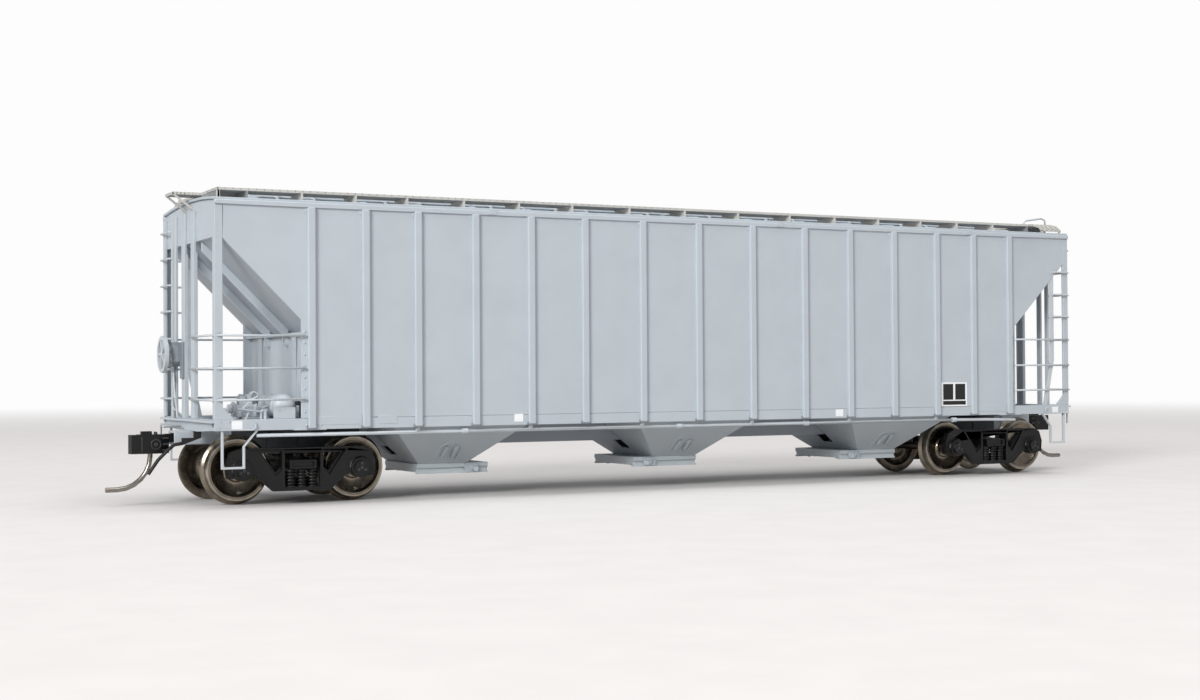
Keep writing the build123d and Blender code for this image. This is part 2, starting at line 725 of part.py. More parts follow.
# Couplers: shank, head with guard arm, and knuckle; each with its trip pin
shank_low = box_low + box_wall + coupler_gap
shank_high = box_high - box_wall - coupler_gap
head_start = half_length + head_reach
head_low = rail + head_rise
head_high = head_low + head_depth
for end, sign in ends:
    eye_in = sign * (coupler_pivot - eye_radius)
    eye_out = sign * (coupler_pivot + eye_radius)
    shank_end = sign * (head_start + shank_half)
    with BuildPart() as coupler:
        with BuildSketch(Plane.XY.offset(shank_low)):
            with BuildLine():
                Polyline(
                    (eye_in, -shank_half), (eye_in, shank_half), (sign * coupler_pivot, eye_radius),
                    (eye_out, shank_half), (shank_end, shank_half), (shank_end, -shank_half),
                    (eye_out, -shank_half), (sign * coupler_pivot, -eye_radius), close=True)
            make_face()
            with Locations((sign * coupler_pivot, 0)):
                Circle(pivot_radius + coupler_gap, mode=Mode.SUBTRACT)
        extrude(amount=shank_high - shank_low)
        with BuildSketch(Plane.XY.offset(head_low)):
            with BuildLine():
                Polyline(*[(sign * (head_start + out), sign * across) for out, across in head_outline],
                         close=True)
            make_face()
        extrude(amount=head_depth)
        block([sign * (head_start + out) for out in lug_along], [sign * across for across in lug_across],
              (head_high, head_high + head_lug))
    save(coupler, f"coupler_{end}")
    with BuildPart() as trip_pin:
        drop_x = half_length + pin_reach
        pin_y = sign * pin_across
        knee_z = head_low - pin_straight
        with BuildLine(mode=Mode.PRIVATE) as bend:
            TangentArc((sign * drop_x, pin_y, knee_z), (sign * (drop_x + pin_bend), pin_y, knee_z - pin_bend),
                       tangent=(0, 0, -1))
        route = [bend.line @ (run / pin_runs) for run in range(pin_runs + 1)]
        tip = (sign * (drop_x + pin_bend + pin_tail), pin_y, knee_z - pin_bend)
        wire([(sign * drop_x, pin_y, head_low)] + route + [tip], pin_size)
    save(trip_pin, f"trip_pin_{end}")

# Air hoses beside the couplers, each from a bracket under the end sill
with BuildPart() as hoses:
    for end, sign in ends:
        y = sign * hose_y
        wire([(sign * (half_length + reach), y, rail + rise) for reach, rise in hose_route], hose_size)
        root = hose_route[0]
        low = rail + root[1] - hose_size / 2
        hanger = (
            (sign * (half_length - end_sill_thick), box_high), (sign * half_length, box_high),
            (sign * half_length, low + 2 * hose_size), (sign * (half_length + root[0]), low + 2 * hose_size),
            (sign * (half_length + root[0]), low),
            (sign * (half_length - end_sill_thick), low + 2 * hose_size),
        )
        outline(hanger, side_plane.offset(-y), hose_size / 2, both=True)
save(hoses, "air_hoses")

# Uncoupling levers across the ends
with BuildPart() as levers:
    for end, sign in ends:
        lever_x = sign * (half_length + lever_reach)
        lever_z = rail + lever_rise
        handle_y = -sign * (side_y - lever_inset)
        wire(((lever_x, handle_y, lever_z - lever_handle), (lever_x, handle_y, lever_z),
              (lever_x, -sign * box_half, lever_z),
              (sign * (head_start + shank_half), -sign * shank_half, lever_z)), wire_size)
save(levers, "cut_levers")

# Hand brake: wheel, and the housing behind it on the end posts
brake_z = sill_high + brake_wheel_over
wheel_face = half_length + brake_wheel_reach
wheel_deep = 2 * brake_rim
with BuildPart() as brake_wheel:
    with BuildSketch(end_plane.offset(-wheel_face)):
        with Locations((brake_wheel_y, brake_z)):
            RegularPolygon(brake_wheel_radius, 24)
            RegularPolygon(brake_wheel_radius - wheel_deep, 24, mode=Mode.SUBTRACT)
            RegularPolygon(wheel_deep, 12)
            with PolarLocations(brake_wheel_radius / 2, spoke_count):
                Rectangle(brake_wheel_radius - brake_rim, brake_rim)
    extrude(amount=wheel_deep)
save(brake_wheel, "brake_wheel")

with BuildPart() as brake_housing:
    with BuildSketch(end_plane.offset(-half_length)) as cover:
        with Locations((brake_wheel_y, brake_z)):
            Rectangle(housing_wide, housing_high)
        chamfer(cover.vertices(), housing_corner)
    extrude(amount=-housing_deep)
    with BuildSketch(end_plane.offset(-half_length - housing_deep)):
        with Locations((brake_wheel_y, brake_z)):
            RegularPolygon(wheel_deep, 8)
    extrude(amount=-(brake_wheel_reach - housing_deep - wheel_deep))
    rod_y = brake_wheel_y + housing_wide / 4
    rod_x = -half_length - wire_size
    wire(((rod_x, rod_y, brake_z - housing_high / 2), (rod_x, rod_y, platform_top)), wire_size)
    block((-half_length - wire_size, -half_length), (centre_post_in, brake_wheel_y - housing_wide / 2),
          (brake_z - housing_high, brake_z + housing_high / 2))
save(brake_housing, "brake_housing")

# Air brake on the near side of the hand-brake end: reservoir in its saddles, on a shelf with the valve
reservoir_x = -(half_length - reservoir_inset)
reservoir_z = sill_high + reservoir_over + reservoir_radius
with BuildPart() as reservoir:
    with BuildSketch(side_plane.offset(reservoir_far)):
        with Locations((reservoir_x, reservoir_z)):
            Circle(reservoir_radius)
    extrude(amount=reservoir_near - reservoir_far)
    chamfer(reservoir.edges().filter_by(GeomType.CIRCLE), reservoir_radius / 4)
save(reservoir, "air_reservoir")

saddle_end = -reservoir_x - saddle_reach
with BuildPart() as brackets:
    for y in (reservoir_near - reservoir_radius / 2, reservoir_far + reservoir_radius / 2):
        with BuildSketch(side_plane.offset(y)) as saddle:
            with BuildLine():
                Polyline((-saddle_end, sill_high), (-saddle_end, reservoir_z),
                         (reservoir_x - saddle_lean, reservoir_z), (reservoir_x, sill_high), close=True)
            make_face()
            with Locations((reservoir_x, reservoir_z)):
                Circle(reservoir_radius, mode=Mode.SUBTRACT)
        extrude(saddle.sketch, amount=shelf_thick / 2, both=True)
    block((-half_length + shelf_inset, -saddle_end), (-inner_y, -centre_sill_half),
          (sill_high - shelf_thick, sill_high))
save(brackets, "brake_shelf")

valve_x = -half_length + shelf_inset
with BuildPart() as valve:
    block((valve_x, valve_x + valve_size), (-valve_y - valve_size / 2, -valve_y + valve_size / 2),
          (sill_high, sill_high + valve_size))
    with BuildSketch(end_plane.offset(valve_x + valve_size)):
        with Locations((-valve_y, sill_high + valve_size / 2)):
            RegularPolygon(valve_size / 3, 8)
    extrude(amount=valve_size / 3)
    with BuildSketch(Plane.XY.offset(sill_high + valve_size)):
        with Locations((valve_x + valve_size / 2, -valve_y)):
            RegularPolygon(valve_size / 3, 8)
    extrude(amount=valve_size / 4)
save(valve, "control_valve")

# Train line along the near side, with its collars and hangers
line_z = sill_low - train_line_drop
line_start = -half_length + train_line_inset
line_end = hopper_edge
with BuildPart() as train_line:
    wire(((line_start, -train_line_y, line_z), (line_end, -train_line_y, line_z)), train_line_size)
    for x in post_places[2:-2:2]:
        block((x - hanger_size / 2, x + hanger_size / 2),
              (-train_line_y - hanger_size / 2, -train_line_y + hanger_size / 2), (line_z, sill_low))
    for x in (-hopper_pitch, -outlet_x, hopper_pitch / 2):
        with BuildSketch(end_plane.offset(x)):
            with Locations((-train_line_y, line_z)):
                RegularPolygon(collar_size / 2, 8)
        extrude(amount=collar_size)
save(train_line, "train_line")

# Wheelsets
wheelsets = [(f"{end}{row}", sign * truck_centre + way * half_base) for end, sign in ends
             for row, way in ((1, -1), (2, 1))]
for name, x in wheelsets:
    with BuildPart() as axle:
        with BuildSketch(side_plane.offset(-axle_half)):
            with Locations((x, axle_z)):
                Circle(axle_radius)
        extrude(amount=2 * axle_half)
    save(axle, f"axle_{name}")
    spin = Plane(origin=(x, 0, axle_z), x_dir=(0, 0, 1), z_dir=(1, 0, 0))   # local x is up, local y is -Y
    with BuildPart() as wheels:
        for side, across in sides:
            back = across * wheel_back
            face = across * (wheel_back + wheel_width)
            plate = face - across * plate_recess
            with BuildSketch(spin):
                with BuildLine():
                    Polyline(
                        (axle_radius, back), (tread_radius + flange_depth, back),
                        (tread_radius, back + across * flange_width), (tread_radius, face),
                        (tread_radius - rim_depth, face), (tread_radius - rim_depth, plate),
                        (axle_radius, plate), close=True)
                make_face()
            revolve(axis=Axis((x, 0, axle_z), (0, 1, 0)))
    save(wheels, f"wheels_{name}")

# Trucks: sideframes with bearings, bolster, springs and brake beams
spring_low = axle_z - spring_depth
window_high = axle_z + window_over
bolster_low = axle_z + bolster_foot
bolster_top = axle_z + bolster_rise
for end, sign in ends:
    centre = sign * truck_centre
    with BuildPart() as frames:
        for side, across in sides:
            face = side_plane.offset(-across * frame_in)
            half_frame = [(half_base + x, z) for x, z in frame_nose]
            half_foot = [(half_base + x, z) for x, z in frame_foot]
            profile = half_frame + [(-x, z) for x, z in reversed(half_frame)]
            profile += [(-x, z) for x, z in half_foot] + half_foot[::-1]
            with BuildSketch(face):
                with BuildLine():
                    Polyline(*[(centre + x, axle_z + z) for x, z in profile], close=True)
                make_face()
                with Locations((centre, (spring_low + window_high) / 2)):
                    Rectangle(2 * window_half, window_high - spring_low, mode=Mode.SUBTRACT)
                for way in (-1, 1):
                    with Locations((centre + way * half_base, axle_z)):
                        RegularPolygon(bearing_radius, 12)
                    with BuildLine():
                        Polyline(*[(centre + way * (window_half + x), axle_z + z) for x, z in frame_opening],
                                 close=True)
                    make_face(mode=Mode.SUBTRACT)
            extrude(amount=-across * frame_thick)
            for way in (-1, 1):
                pocket = [(centre + way * (window_half + x), axle_z + z) for x, z in frame_pocket]
                outline(pocket, side_plane.offset(-across * (frame_out - pocket_deep)), -across * pocket_deep,
                        mode=Mode.SUBTRACT)
                for radius, proud in ((bearing_radius, bearing_proud), (cap_radius, cap_proud)):
                    with BuildSketch(side_plane.offset(-across * frame_out)):
                        with Locations((centre + way * half_base, axle_z)):
                            RegularPolygon(radius, 12)
                    extrude(amount=-across * proud)
                with BuildSketch(face):
                    with Locations((centre + way * half_base, axle_z)):
                        RegularPolygon(axle_radius + running_gap, 12, major_radius=False)
                extrude(amount=-across * (axle_half - frame_in + end_gap), mode=Mode.SUBTRACT)
    save(frames, f"sideframes_{end}")

    with BuildPart() as bolster:
        end_y = frame_out + bolster_recess
        end_z = axle_z + bolster_end
        belly_z = axle_z - bolster_belly
        slot_half, slot_low, slot_high = bolster_slot
        beam = (
            (-end_y, bolster_low), (-end_y, end_z), (-frame_in / 2, bolster_top), (frame_in / 2, bolster_top),
            (end_y, end_z), (end_y, bolster_low), (frame_in, bolster_low), (frame_in / 2, belly_z),
            (-frame_in / 2, belly_z), (-frame_in, bolster_low),
        )
        outline(beam, end_plane.offset(centre), bolster_wide / 2, both=True)
        for across in (-1, 1):
            block((centre - slot_half, centre + slot_half), (across * frame_out, across * end_y),
                  (axle_z + slot_low, axle_z + slot_high), mode=Mode.SUBTRACT)
        with BuildSketch(Plane.XY.offset(bolster_top)):
            with Locations((centre, 0)):
                Circle(centre_plate_radius)
        extrude(amount=centre_plate_z - centre_plate_gap - bolster_top)
    save(bolster, f"truck_bolster_{end}")

    with BuildPart() as springs:
        with BuildSketch(Plane.XY.offset(spring_low)):
            with Locations((centre, 0)):
                with GridLocations(spring_pitch, 2 * (frame_in + frame_thick / 2), 3, 2):
                    RegularPolygon(spring_radius, 8)
        extrude(amount=bolster_low - spring_low)
    save(springs, f"springs_{end}")

    with BuildPart() as beams:
        beam_x = bolster_wide / 2 + beam_gap
        shoe_x = half_base - tread_radius - shoe_gap
        for way in (-1, 1):
            block((centre + way * beam_x, centre + way * (beam_x + beam_thick)), (-frame_in, frame_in),
                  (axle_z - beam_thick, axle_z + beam_thick / 2))
            for side, across in sides:
                shoe_in = wheel_back + flange_width + running_gap
                shoe = (across * shoe_in, across * (wheel_back + wheel_width))
                block((centre + way * (beam_x + beam_thick), centre + way * shoe_x), shoe,
                      (axle_z - 2 * beam_thick, axle_z + 2 * beam_thick))
    save(beams, f"brake_beams_{end}")
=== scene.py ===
import json
import math

import bmesh
import bpy
from mathutils import Matrix, Vector


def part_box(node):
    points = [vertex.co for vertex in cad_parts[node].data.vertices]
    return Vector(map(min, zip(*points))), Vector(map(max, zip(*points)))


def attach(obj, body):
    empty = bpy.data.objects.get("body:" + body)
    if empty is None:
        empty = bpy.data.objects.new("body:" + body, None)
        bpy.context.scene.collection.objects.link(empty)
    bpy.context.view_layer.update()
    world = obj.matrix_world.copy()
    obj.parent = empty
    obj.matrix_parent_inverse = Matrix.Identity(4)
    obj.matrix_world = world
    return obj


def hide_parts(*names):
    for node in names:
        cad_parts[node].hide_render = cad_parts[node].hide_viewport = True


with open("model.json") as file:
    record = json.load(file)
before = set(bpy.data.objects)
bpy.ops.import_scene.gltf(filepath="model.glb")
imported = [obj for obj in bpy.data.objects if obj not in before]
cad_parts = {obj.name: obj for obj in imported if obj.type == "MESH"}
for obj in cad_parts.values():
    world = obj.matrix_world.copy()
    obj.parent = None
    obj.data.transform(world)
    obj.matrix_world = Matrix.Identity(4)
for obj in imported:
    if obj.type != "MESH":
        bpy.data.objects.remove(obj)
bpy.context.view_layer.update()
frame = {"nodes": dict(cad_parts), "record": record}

# Looks of the model covered hopper car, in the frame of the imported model: X along the car with
# the hand-brake end at -X, -Y towards the camera, Z up from the floor. Camera, floor and lamps
# are in metres.
mm = 0.001

# Paint colours as they look in plain light, 0 to 255, except the tones marked as painted shade or
# painted highlight
body_tone = (188, 196, 202)
fitting_tone = (196, 202, 206)
brake_tone = (194, 201, 206)
truck_tone = (13, 13, 14)
coupler_tone = (10, 10, 11)
wheel_tone = (134, 125, 112)
rim_tone = (176, 168, 156)
axle_tone = (96, 88, 80)
pin_tone = (150, 143, 136)
hose_tone = (24, 24, 25)
walk_tone = (196, 194, 188)         # rims and brackets of the roof walks
walk_mesh_shade_tone = (140, 142, 143)         # the bars inside those rims, darker than the rims: painted shade of the walks' underside
foot_shade_tone = (128, 135, 141)         # tabs under the side posts, and the hand brake's housing, darkened: painted shade
underframe_shade_tone = (62, 66, 70)           # the underframe over the trucks, darkened: painted shade
slope_shade_tone = (168, 175, 182)        # slope sheets and centre sill, the body's grey darkened: painted shade
gate_tone = (202, 210, 214)
patch_tone = (246, 247, 248)        # reflector patches and the white border of the plate
plate_tone = (22, 22, 24)           # the blank two-panel plate
bolt_highlight_tone = (50, 50, 53)            # bearing cap bolts and the couplers' bosses, lighter than the black: painted highlight

# Camera, fitted to the photograph, 1200 x 700
photo_width = 1200
camera_place = (-163.057 * mm, -288.079 * mm, 21.61 * mm)
camera_yaw = 0.484          # radians to the right of +Y
camera_pitch = 0.014
camera_roll = -0.006
focal_pixels = 1693.5
sensor_width = 36.0
nearest_seen = 0.01
farthest_seen = 20.0

# Floor
floor_half = 3.0
floor_tone = (226, 223, 220)
bounce_tone = (188, 186, 184)    # what the floor gives back to the model
fade_start = 0.30           # from here out the floor fades to white
fade_end = 1.0

# Light tent
sky_tone = (252, 252, 255)
sky_strength = 0.46
white_tone = (253, 253, 253)
# Lamps: name, place, target, width of the square, power in watts
lamps = (
    ("key", (-1.14, -0.82, 0.61), (0, 0, 0.03), 0.45, 16.8),
    ("top", (0.15, -0.15, 1.3), (0, 0, 0.03), 0.9, 7.5),
    ("glint", (0.05, -0.38, 0.27), (0, 0, 0.01), 0.04, 0.09),
)

# Wheels. A profile's points are (radius, place from the wheel's back to its face)
wheel_width = 2.2
wheel_turns = 96
wheel_profile = (
    (0.80, 0.10), (1.90, 0.12), (2.05, 0.24), (2.40, 0.42), (3.00, 0.50), (3.60, 0.48), (4.10, 0.30),
    (4.50, 0.02), (5.50, 0.02), (5.76, 0.06), (5.87, 0.20), (5.86, 0.40), (5.72, 0.56), (5.46, 0.68),
    (5.31, 0.78), (5.25, 0.92), (5.22, 2.02), (5.12, 2.18), (4.56, 2.18), (4.46, 2.10), (4.30, 1.92),
    (4.00, 1.77), (3.60, 1.60), (3.20, 1.46), (2.80, 1.35), (2.40, 1.27), (2.15, 1.27), (2.02, 1.35),
    (1.92, 1.52), (1.80, 1.62), (0.80, 1.64),
)
# The bright ring on each wheel's face and tread edge
rim_profile = ((5.19, 1.70), (5.235, 1.72), (5.215, 2.03), (5.12, 2.19), (4.95, 2.195), (4.95, 2.10))

# Springs of a truck
spring_rows = 3
spring_pitch = 1.9
spring_turns = 5
steps_a_turn = 16
spring_wire = 0.19
spring_radius = 0.85
spring_seat = 0.2
tray_half = 2.75            # the lip of the spring tray, between the coils and the wheels
tray_high = 1.6
tray_thick = 0.3

# Sideframes
web_area = 12.0             # flat faces larger than this, in square millimetres, are webs
rim_wide = 0.25             # raised rim round a web
rim_deep = 0.12
cap_bolt_circle = 0.7

# Body, as in the part
eave = 50.64
roof_rise = 0.9             # crown of the roof
half_wide = 17.4
side_posts = (0.0, 11.9, 23.8, 34.5, 45.2, 55.9, 65.3, 74.8)
post_places = sorted({way * place for place in side_posts for way in (-1, 1)})
bay_edge = 76.5
sill_low = 12.67
sill_high = 14.49
end_sheet = 90.55

# Hoppers
hopper_middles = (-47.6, 0.0, 47.6)
outlet_z = 5.84
outlet_wide = 8.0
side_slope = 1.288          # outward for each millimetre up
ring_reach = 2.0            # half the width of the ring on each hopper's side
ring_foot = 6.6
ring_spring = 8.7           # height where the ring's round top begins
ring_rise = 1.1

# Roof walks
walk_low = 52.29
walk_top = 52.74
walk_outer = 12.8
walk_inner = 7.0
walk_end = 89.3
walk_tip = 94.1
tip_half = 2.55
cross_walk = 5.2
corner_slope = ((12.8, 52.74), (14.51, 52.64), (16.22, 52.14), (17.3, 51.34))
bar_thick = 0.13
bar_pitch = 0.66
rod_deep = 0.3              # the shallow rods' bottom and top, below the walk's top
rod_drop = 0.04
bracket_thick = 0.35
bracket_gap = 0.03
bearer_places = (walk_end - 0.4, walk_end - cross_walk)
bearer_wide = 0.3           # bearers under the cross walks
ramp_rod = 0.2              # the sloping gratings' rods: width, depth, and depth of the rim
ramp_rod_deep = 0.26
ramp_rim_deep = 0.45
ramp_foot = (16.9, 17.3, 51.1)      # their feet: y from and to, and z of the top

# Hatches
hatch_end = 80.0
hatch_half = 4.6
hatch_count = 4
hatch_gap = 0.8
cover_rim = 52.59
cover_crown = 0.55
straps_a_cover = 6
strap_wide = 0.6
strap_thick = 0.1

# Couplers
coupler_head = 94.4
coupler_bottom = 8.64
coupler_middle = 10.2
coupler_top = 11.82

carrier = {}
for body_name, body_nodes in frame["record"]["behaviour"]["bodies"].items():
    carrier.update({node: body_name for node in body_nodes})
slot_of = {part["node"]: part["material_slot"] for part in frame["record"]["subparts"]}
car = "car_body"


def tone(rgb):
    """Linear colour of a paint tone."""
    parts = [v / 255 / 12.92 if v <= 10 else ((v / 255 + 0.055) / 1.055) ** 2.4 for v in rgb]
    return (*parts, 1.0)


def shade(rgb, amount):
    """The tone made lighter or darker."""
    return tuple(min(255, max(0, v * amount)) for v in rgb)


def new_material(name):
    """A node material with its tree and shader."""
    material = bpy.data.materials.new(name)
    material.use_nodes = True
    return material, material.node_tree, material.node_tree.nodes["Principled BSDF"]


def add(tree, kind, **values):
    """A node, with its settings and input values."""
    node = tree.nodes.new(kind)
    for key, value in values.items():
        if key in node.inputs:
            node.inputs[key].default_value = value
        else:
            setattr(node, key, value)
    return node


def noise(tree, size, detail):
    """Noise with features of a given size in metres, from the piece's own coordinates."""
    place = add(tree, "ShaderNodeTexCoord")
    grain = add(tree, "ShaderNodeTexNoise", Scale=1 / size, Detail=detail)
    tree.links.new(place.outputs["Object"], grain.inputs["Vector"])
    return grain.outputs["Fac"]


def ramp(tree, factor, *stops):
    """A colour ramp over a factor, from (place, colour) stops."""
    node = add(tree, "ShaderNodeValToRGB")
    while len(node.color_ramp.elements) < len(stops):
        node.color_ramp.elements.new(0.5)
    for element, (place, colour) in zip(node.color_ramp.elements, stops):
        element.position = place
        element.color = colour
    tree.links.new(factor, node.inputs["Fac"])
    return node.outputs["Color"]


def spread(tree, factor, low, high):
    """A factor mapped to a range."""
    node = add(tree, "ShaderNodeMapRange")
    node.inputs["To Min"].default_value = low
    node.inputs["To Max"].default_value = high
    tree.links.new(factor, node.inputs["Value"])
    return node.outputs["Result"]


def lift(tree, shader, height, strength, distance):
    """A bump from a height, on the shader's normal."""
    bump = add(tree, "ShaderNodeBump", Strength=strength, Distance=distance)
    tree.links.new(height, bump.inputs["Height"])
    tree.links.new(bump.outputs["Normal"], shader.inputs["Normal"])


def paint(name, rgb, roughness=0.42, grain=0.12 * mm, bump=0.02 * mm, vary=0.012, metallic=0.0,
          gloss=0.5):
    """Sprayed paint or moulded plastic: soft tone changes, fine orange peel and uneven gloss."""
    material, tree, shader = new_material(name)
    broad = noise(tree, 5 * mm, 6)
    colour = ramp(tree, broad, (0.3, tone(shade(rgb, 1 - vary))), (0.7, tone(shade(rgb, 1 + vary))))
    tree.links.new(colour, shader.inputs["Base Color"])
    tree.links.new(spread(tree, broad, roughness - 0.06, roughness + 0.06), shader.inputs["Roughness"])
    shader.inputs["Metallic"].default_value = metallic
    shader.inputs["Specular IOR Level"].default_value = gloss
    lift(tree, shader, noise(tree, grain, 2), 0.35, bump)
    return material


def turned(name, rgb, roughness):
    """Turned or drawn metal: fine rings round the piece's axle, with stains in the gloss."""
    material, tree, shader = new_material(name)
    place = add(tree, "ShaderNodeTexCoord")
    rings = add(tree, "ShaderNodeTexWave", wave_type="RINGS", rings_direction="Y", Scale=5000.0,
                Distortion=0.6)
    tree.links.new(place.outputs["Object"], rings.inputs["Vector"])
    stain = noise(tree, 1.6 * mm, 5)
    colour = ramp(tree, stain, (0.3, tone(shade(rgb, 0.82))), (0.7, tone(shade(rgb, 1.1))))
    tree.links.new(colour, shader.inputs["Base Color"])
    tree.links.new(spread(tree, stain, roughness - 0.08, roughness + 0.1), shader.inputs["Roughness"])
    shader.inputs["Metallic"].default_value = 1.0
    lift(tree, shader, rings.outputs["Fac"], 0.12, 0.01 * mm)
    return material


# Materials of the record's slots
slot_materials = {
    "body_grey": paint("body paint", body_tone),
    "fittings_grey": paint("fittings paint", fitting_tone, roughness=0.38),
    "brake_grey": paint("brake gear paint", brake_tone, roughness=0.45, vary=0.02),
    "truck_black": paint("truck plastic", truck_tone, vary=0.12, bump=0.03 * mm, gloss=0.4),
    "coupler_black": paint("coupler metal", coupler_tone, roughness=0.38, vary=0.2, bump=0.03 * mm,
                           gloss=0.4),
    "wheel_metal": turned("wheel metal", wheel_tone, 0.24),
    "axle_steel": turned("axle metal", axle_tone, 0.34),
    "pin_steel": paint("pin wire", pin_tone, roughness=0.28, metallic=1.0, vary=0.08),
    "hose_rubber": paint("hose rubber", hose_tone, roughness=0.5, vary=0.15),
}
# Materials of single pieces
rim_metal = turned("polished rim", rim_tone, 0.22)
walk_paint = paint("walk paint", walk_tone, roughness=0.5, vary=0.03)
# Tabs at the post feet and the brake housing, darkened: painted shade
foot_shade_paint = paint("post feet painted shade", foot_shade_tone, roughness=0.5, vary=0.05)
# The underframe over the trucks, darkened: painted shade
underframe_shade_paint = paint("underframe painted shade", underframe_shade_tone, roughness=0.5, vary=0.1)
# Slope sheets and centre sill, the body's grey darkened: painted shade
slope_shade_paint = paint("slope painted shade", slope_shade_tone)
gate_paint = paint("gate paint", gate_tone)
# The walks' bars, darker than their rims: painted shade
walk_mesh_shade_paint = paint("walk mesh painted shade", walk_mesh_shade_tone, roughness=0.5, vary=0.06)
patch_paint = paint("reflector patch", patch_tone, roughness=0.6, vary=0.004, grain=0.05 * mm)
plate_paint = paint("black plate", plate_tone, roughness=0.55, vary=0.1)
# Bolts and bosses, lighter than the black around them: painted highlight
black_with_highlight = paint("black with painted highlight", bolt_highlight_tone, roughness=0.34, vary=0.2)


def finish(name, shape, body, slot, width=0.0, segments=2, material=None, replaces=(), smooth=40,
           place=None, unit=mm):
    """A piece from a bmesh: edges rounded, smooth between sharp edges, riding on its body."""
    mesh = bpy.data.meshes.new(name)
    bmesh.ops.scale(shape, vec=(unit, unit, unit), verts=shape.verts)
    bmesh.ops.recalc_face_normals(shape, faces=shape.faces)
    if width:
        weights = shape.edges.layers.float.new("bevel_weight_edge")
        for edge in shape.edges:
            if edge.is_convex and edge.calc_face_angle(0) > math.radians(smooth):
                edge[weights] = 1.0
    shape.to_mesh(mesh)
    shape.free()
    mesh.polygons.foreach_set("use_smooth", [True] * len(mesh.polygons))
    mesh.set_sharp_from_angle(angle=math.radians(smooth))
    mesh.materials.append(material or slot_materials[slot])
    item = bpy.data.objects.new(name, mesh)
    if place:
        item.location = place
    bpy.context.scene.collection.objects.link(item)
    if width:
        bevel = item.modifiers.new("rounded edges", "BEVEL")
        bevel.width = width * mm
        bevel.segments = segments
        bevel.limit_method = "WEIGHT"
        flat = item.modifiers.new("flat faces", "WEIGHTED_NORMAL")
        flat.weight = 100
        flat.keep_sharp = True
    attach(item, body)
    for node in replaces:
        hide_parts(node)
    return item


def cad_shape(node):
    """A CAD node's mesh with its flat faces joined."""
    shape = bmesh.new()
    shape.from_mesh(frame["nodes"][node].data)
    bmesh.ops.remove_doubles(shape, verts=shape.verts, dist=0.001 * mm)
    bmesh.ops.dissolve_limit(shape, angle_limit=math.radians(1), verts=shape.verts, edges=shape.edges)
    return shape


def prism(shape, points, axis, start, depth):
    """A flat outline drawn across an axis (0 for X, 1 for Y, 2 for Z), made solid along it."""
    ends = []
    for place in (start, start + depth):
        ring = []
        for first, second in points:
            spot = [first, second]
            spot.insert(axis, place)
            ring.append(shape.verts.new(spot))
        ends.append(ring)
    near, far = ends
    shape.faces.new(near)
    shape.faces.new(far[::-1])
    for index in range(len(points)):
        after = (index + 1) % len(points)
        shape.faces.new((near[index], far[index], far[after], near[after]))


def bar(shape, low, high):
    """A box between two corners, added to a bmesh."""
    middle = (Vector(low) + Vector(high)) / 2
    size = [abs(b - a) for a, b in zip(low, high)]
    matrix = Matrix.Translation(middle) @ Matrix.Diagonal((*size, 1.0))
    bmesh.ops.create_cube(shape, size=1.0, matrix=matrix)


def disc(shape, middle, direction, radius, depth, sides):
    """A short round or many-sided stub standing out from a point."""
    turn = Vector(direction).to_track_quat("Z", "Y").to_matrix().to_4x4()
    centre = Vector(middle) + Vector(direction).normalized() * depth / 2
    bmesh.ops.create_cone(shape, cap_ends=True, segments=sides, radius1=radius, radius2=radius,
                          depth=depth, matrix=Matrix.Translation(centre) @ turn)


def dome(shape, middle, direction, radius):
    """A rivet's low round head."""
    turn = Vector(direction).to_track_quat("Z", "Y").to_matrix().to_4x4()
    squash = Matrix.Diagonal((1.0, 1.0, 0.55, 1.0))
    bmesh.ops.create_icosphere(shape, subdivisions=1, radius=radius,
                               matrix=Matrix.Translation(Vector(middle)) @ turn @ squash)


def strip(shape, arc, above, below, start, depth):
    """A thin band along X that follows an arc of (y, z) points."""
    top = [(y, z + above) for y, z in arc]
    bottom = [(y, z - below) for y, z in reversed(arc)]
    prism(shape, top + bottom, 0, start, depth)


def join_rings(shape, rings):
    """Faces between each ring of points and the next."""
    for near, far in zip(rings, rings[1:]):
        for turn in range(len(near)):
            after = (turn + 1) % len(near)
            shape.faces.new((near[turn], near[after], far[after], far[turn]))


def tube(shape, points, radius, sides=8):
    """A round rod or pipe along a list of points."""
    points = [Vector(point) for point in points]
    rings = []
    side = None
    for index, point in enumerate(points):
        ahead = points[min(index + 1, len(points) - 1)] - points[max(index - 1, 0)]
        ahead.normalize()
        side = ahead.orthogonal() if side is None else side - ahead * side.dot(ahead)
        side.normalize()
        across = ahead.cross(side)
        ring = []
        for turn in range(sides):
            angle = 2 * math.pi * turn / sides
            out = side * math.cos(angle) + across * math.sin(angle)
            ring.append(shape.verts.new(point + out * radius))
        rings.append(ring)
    join_rings(shape, rings)
    shape.faces.new(rings[0][::-1])
    shape.faces.new(rings[-1])


def lathe(shape, profile, turns, along):
    """A profile of (radius, place along Y), spun round the Y axis."""
    rings = []
    for radius, place in profile:
        ring = []
        for turn in range(turns):
            angle = 2 * math.pi * turn / turns
            spot = (radius * math.cos(angle), along * place, radius * math.sin(angle))
            ring.append(shape.verts.new(spot))
        rings.append(ring)
    join_rings(shape, rings + [rings[0]])


def box_mm(node):
    """Lowest and highest corner of a CAD node, in millimetres."""
    low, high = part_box(node)
    return Vector(low) / mm, Vector(high) / mm


def middle_of(node):
    """Middle of a CAD node's box, in millimetres."""
    low, high = box_mm(node)
    return (low + high) / 2


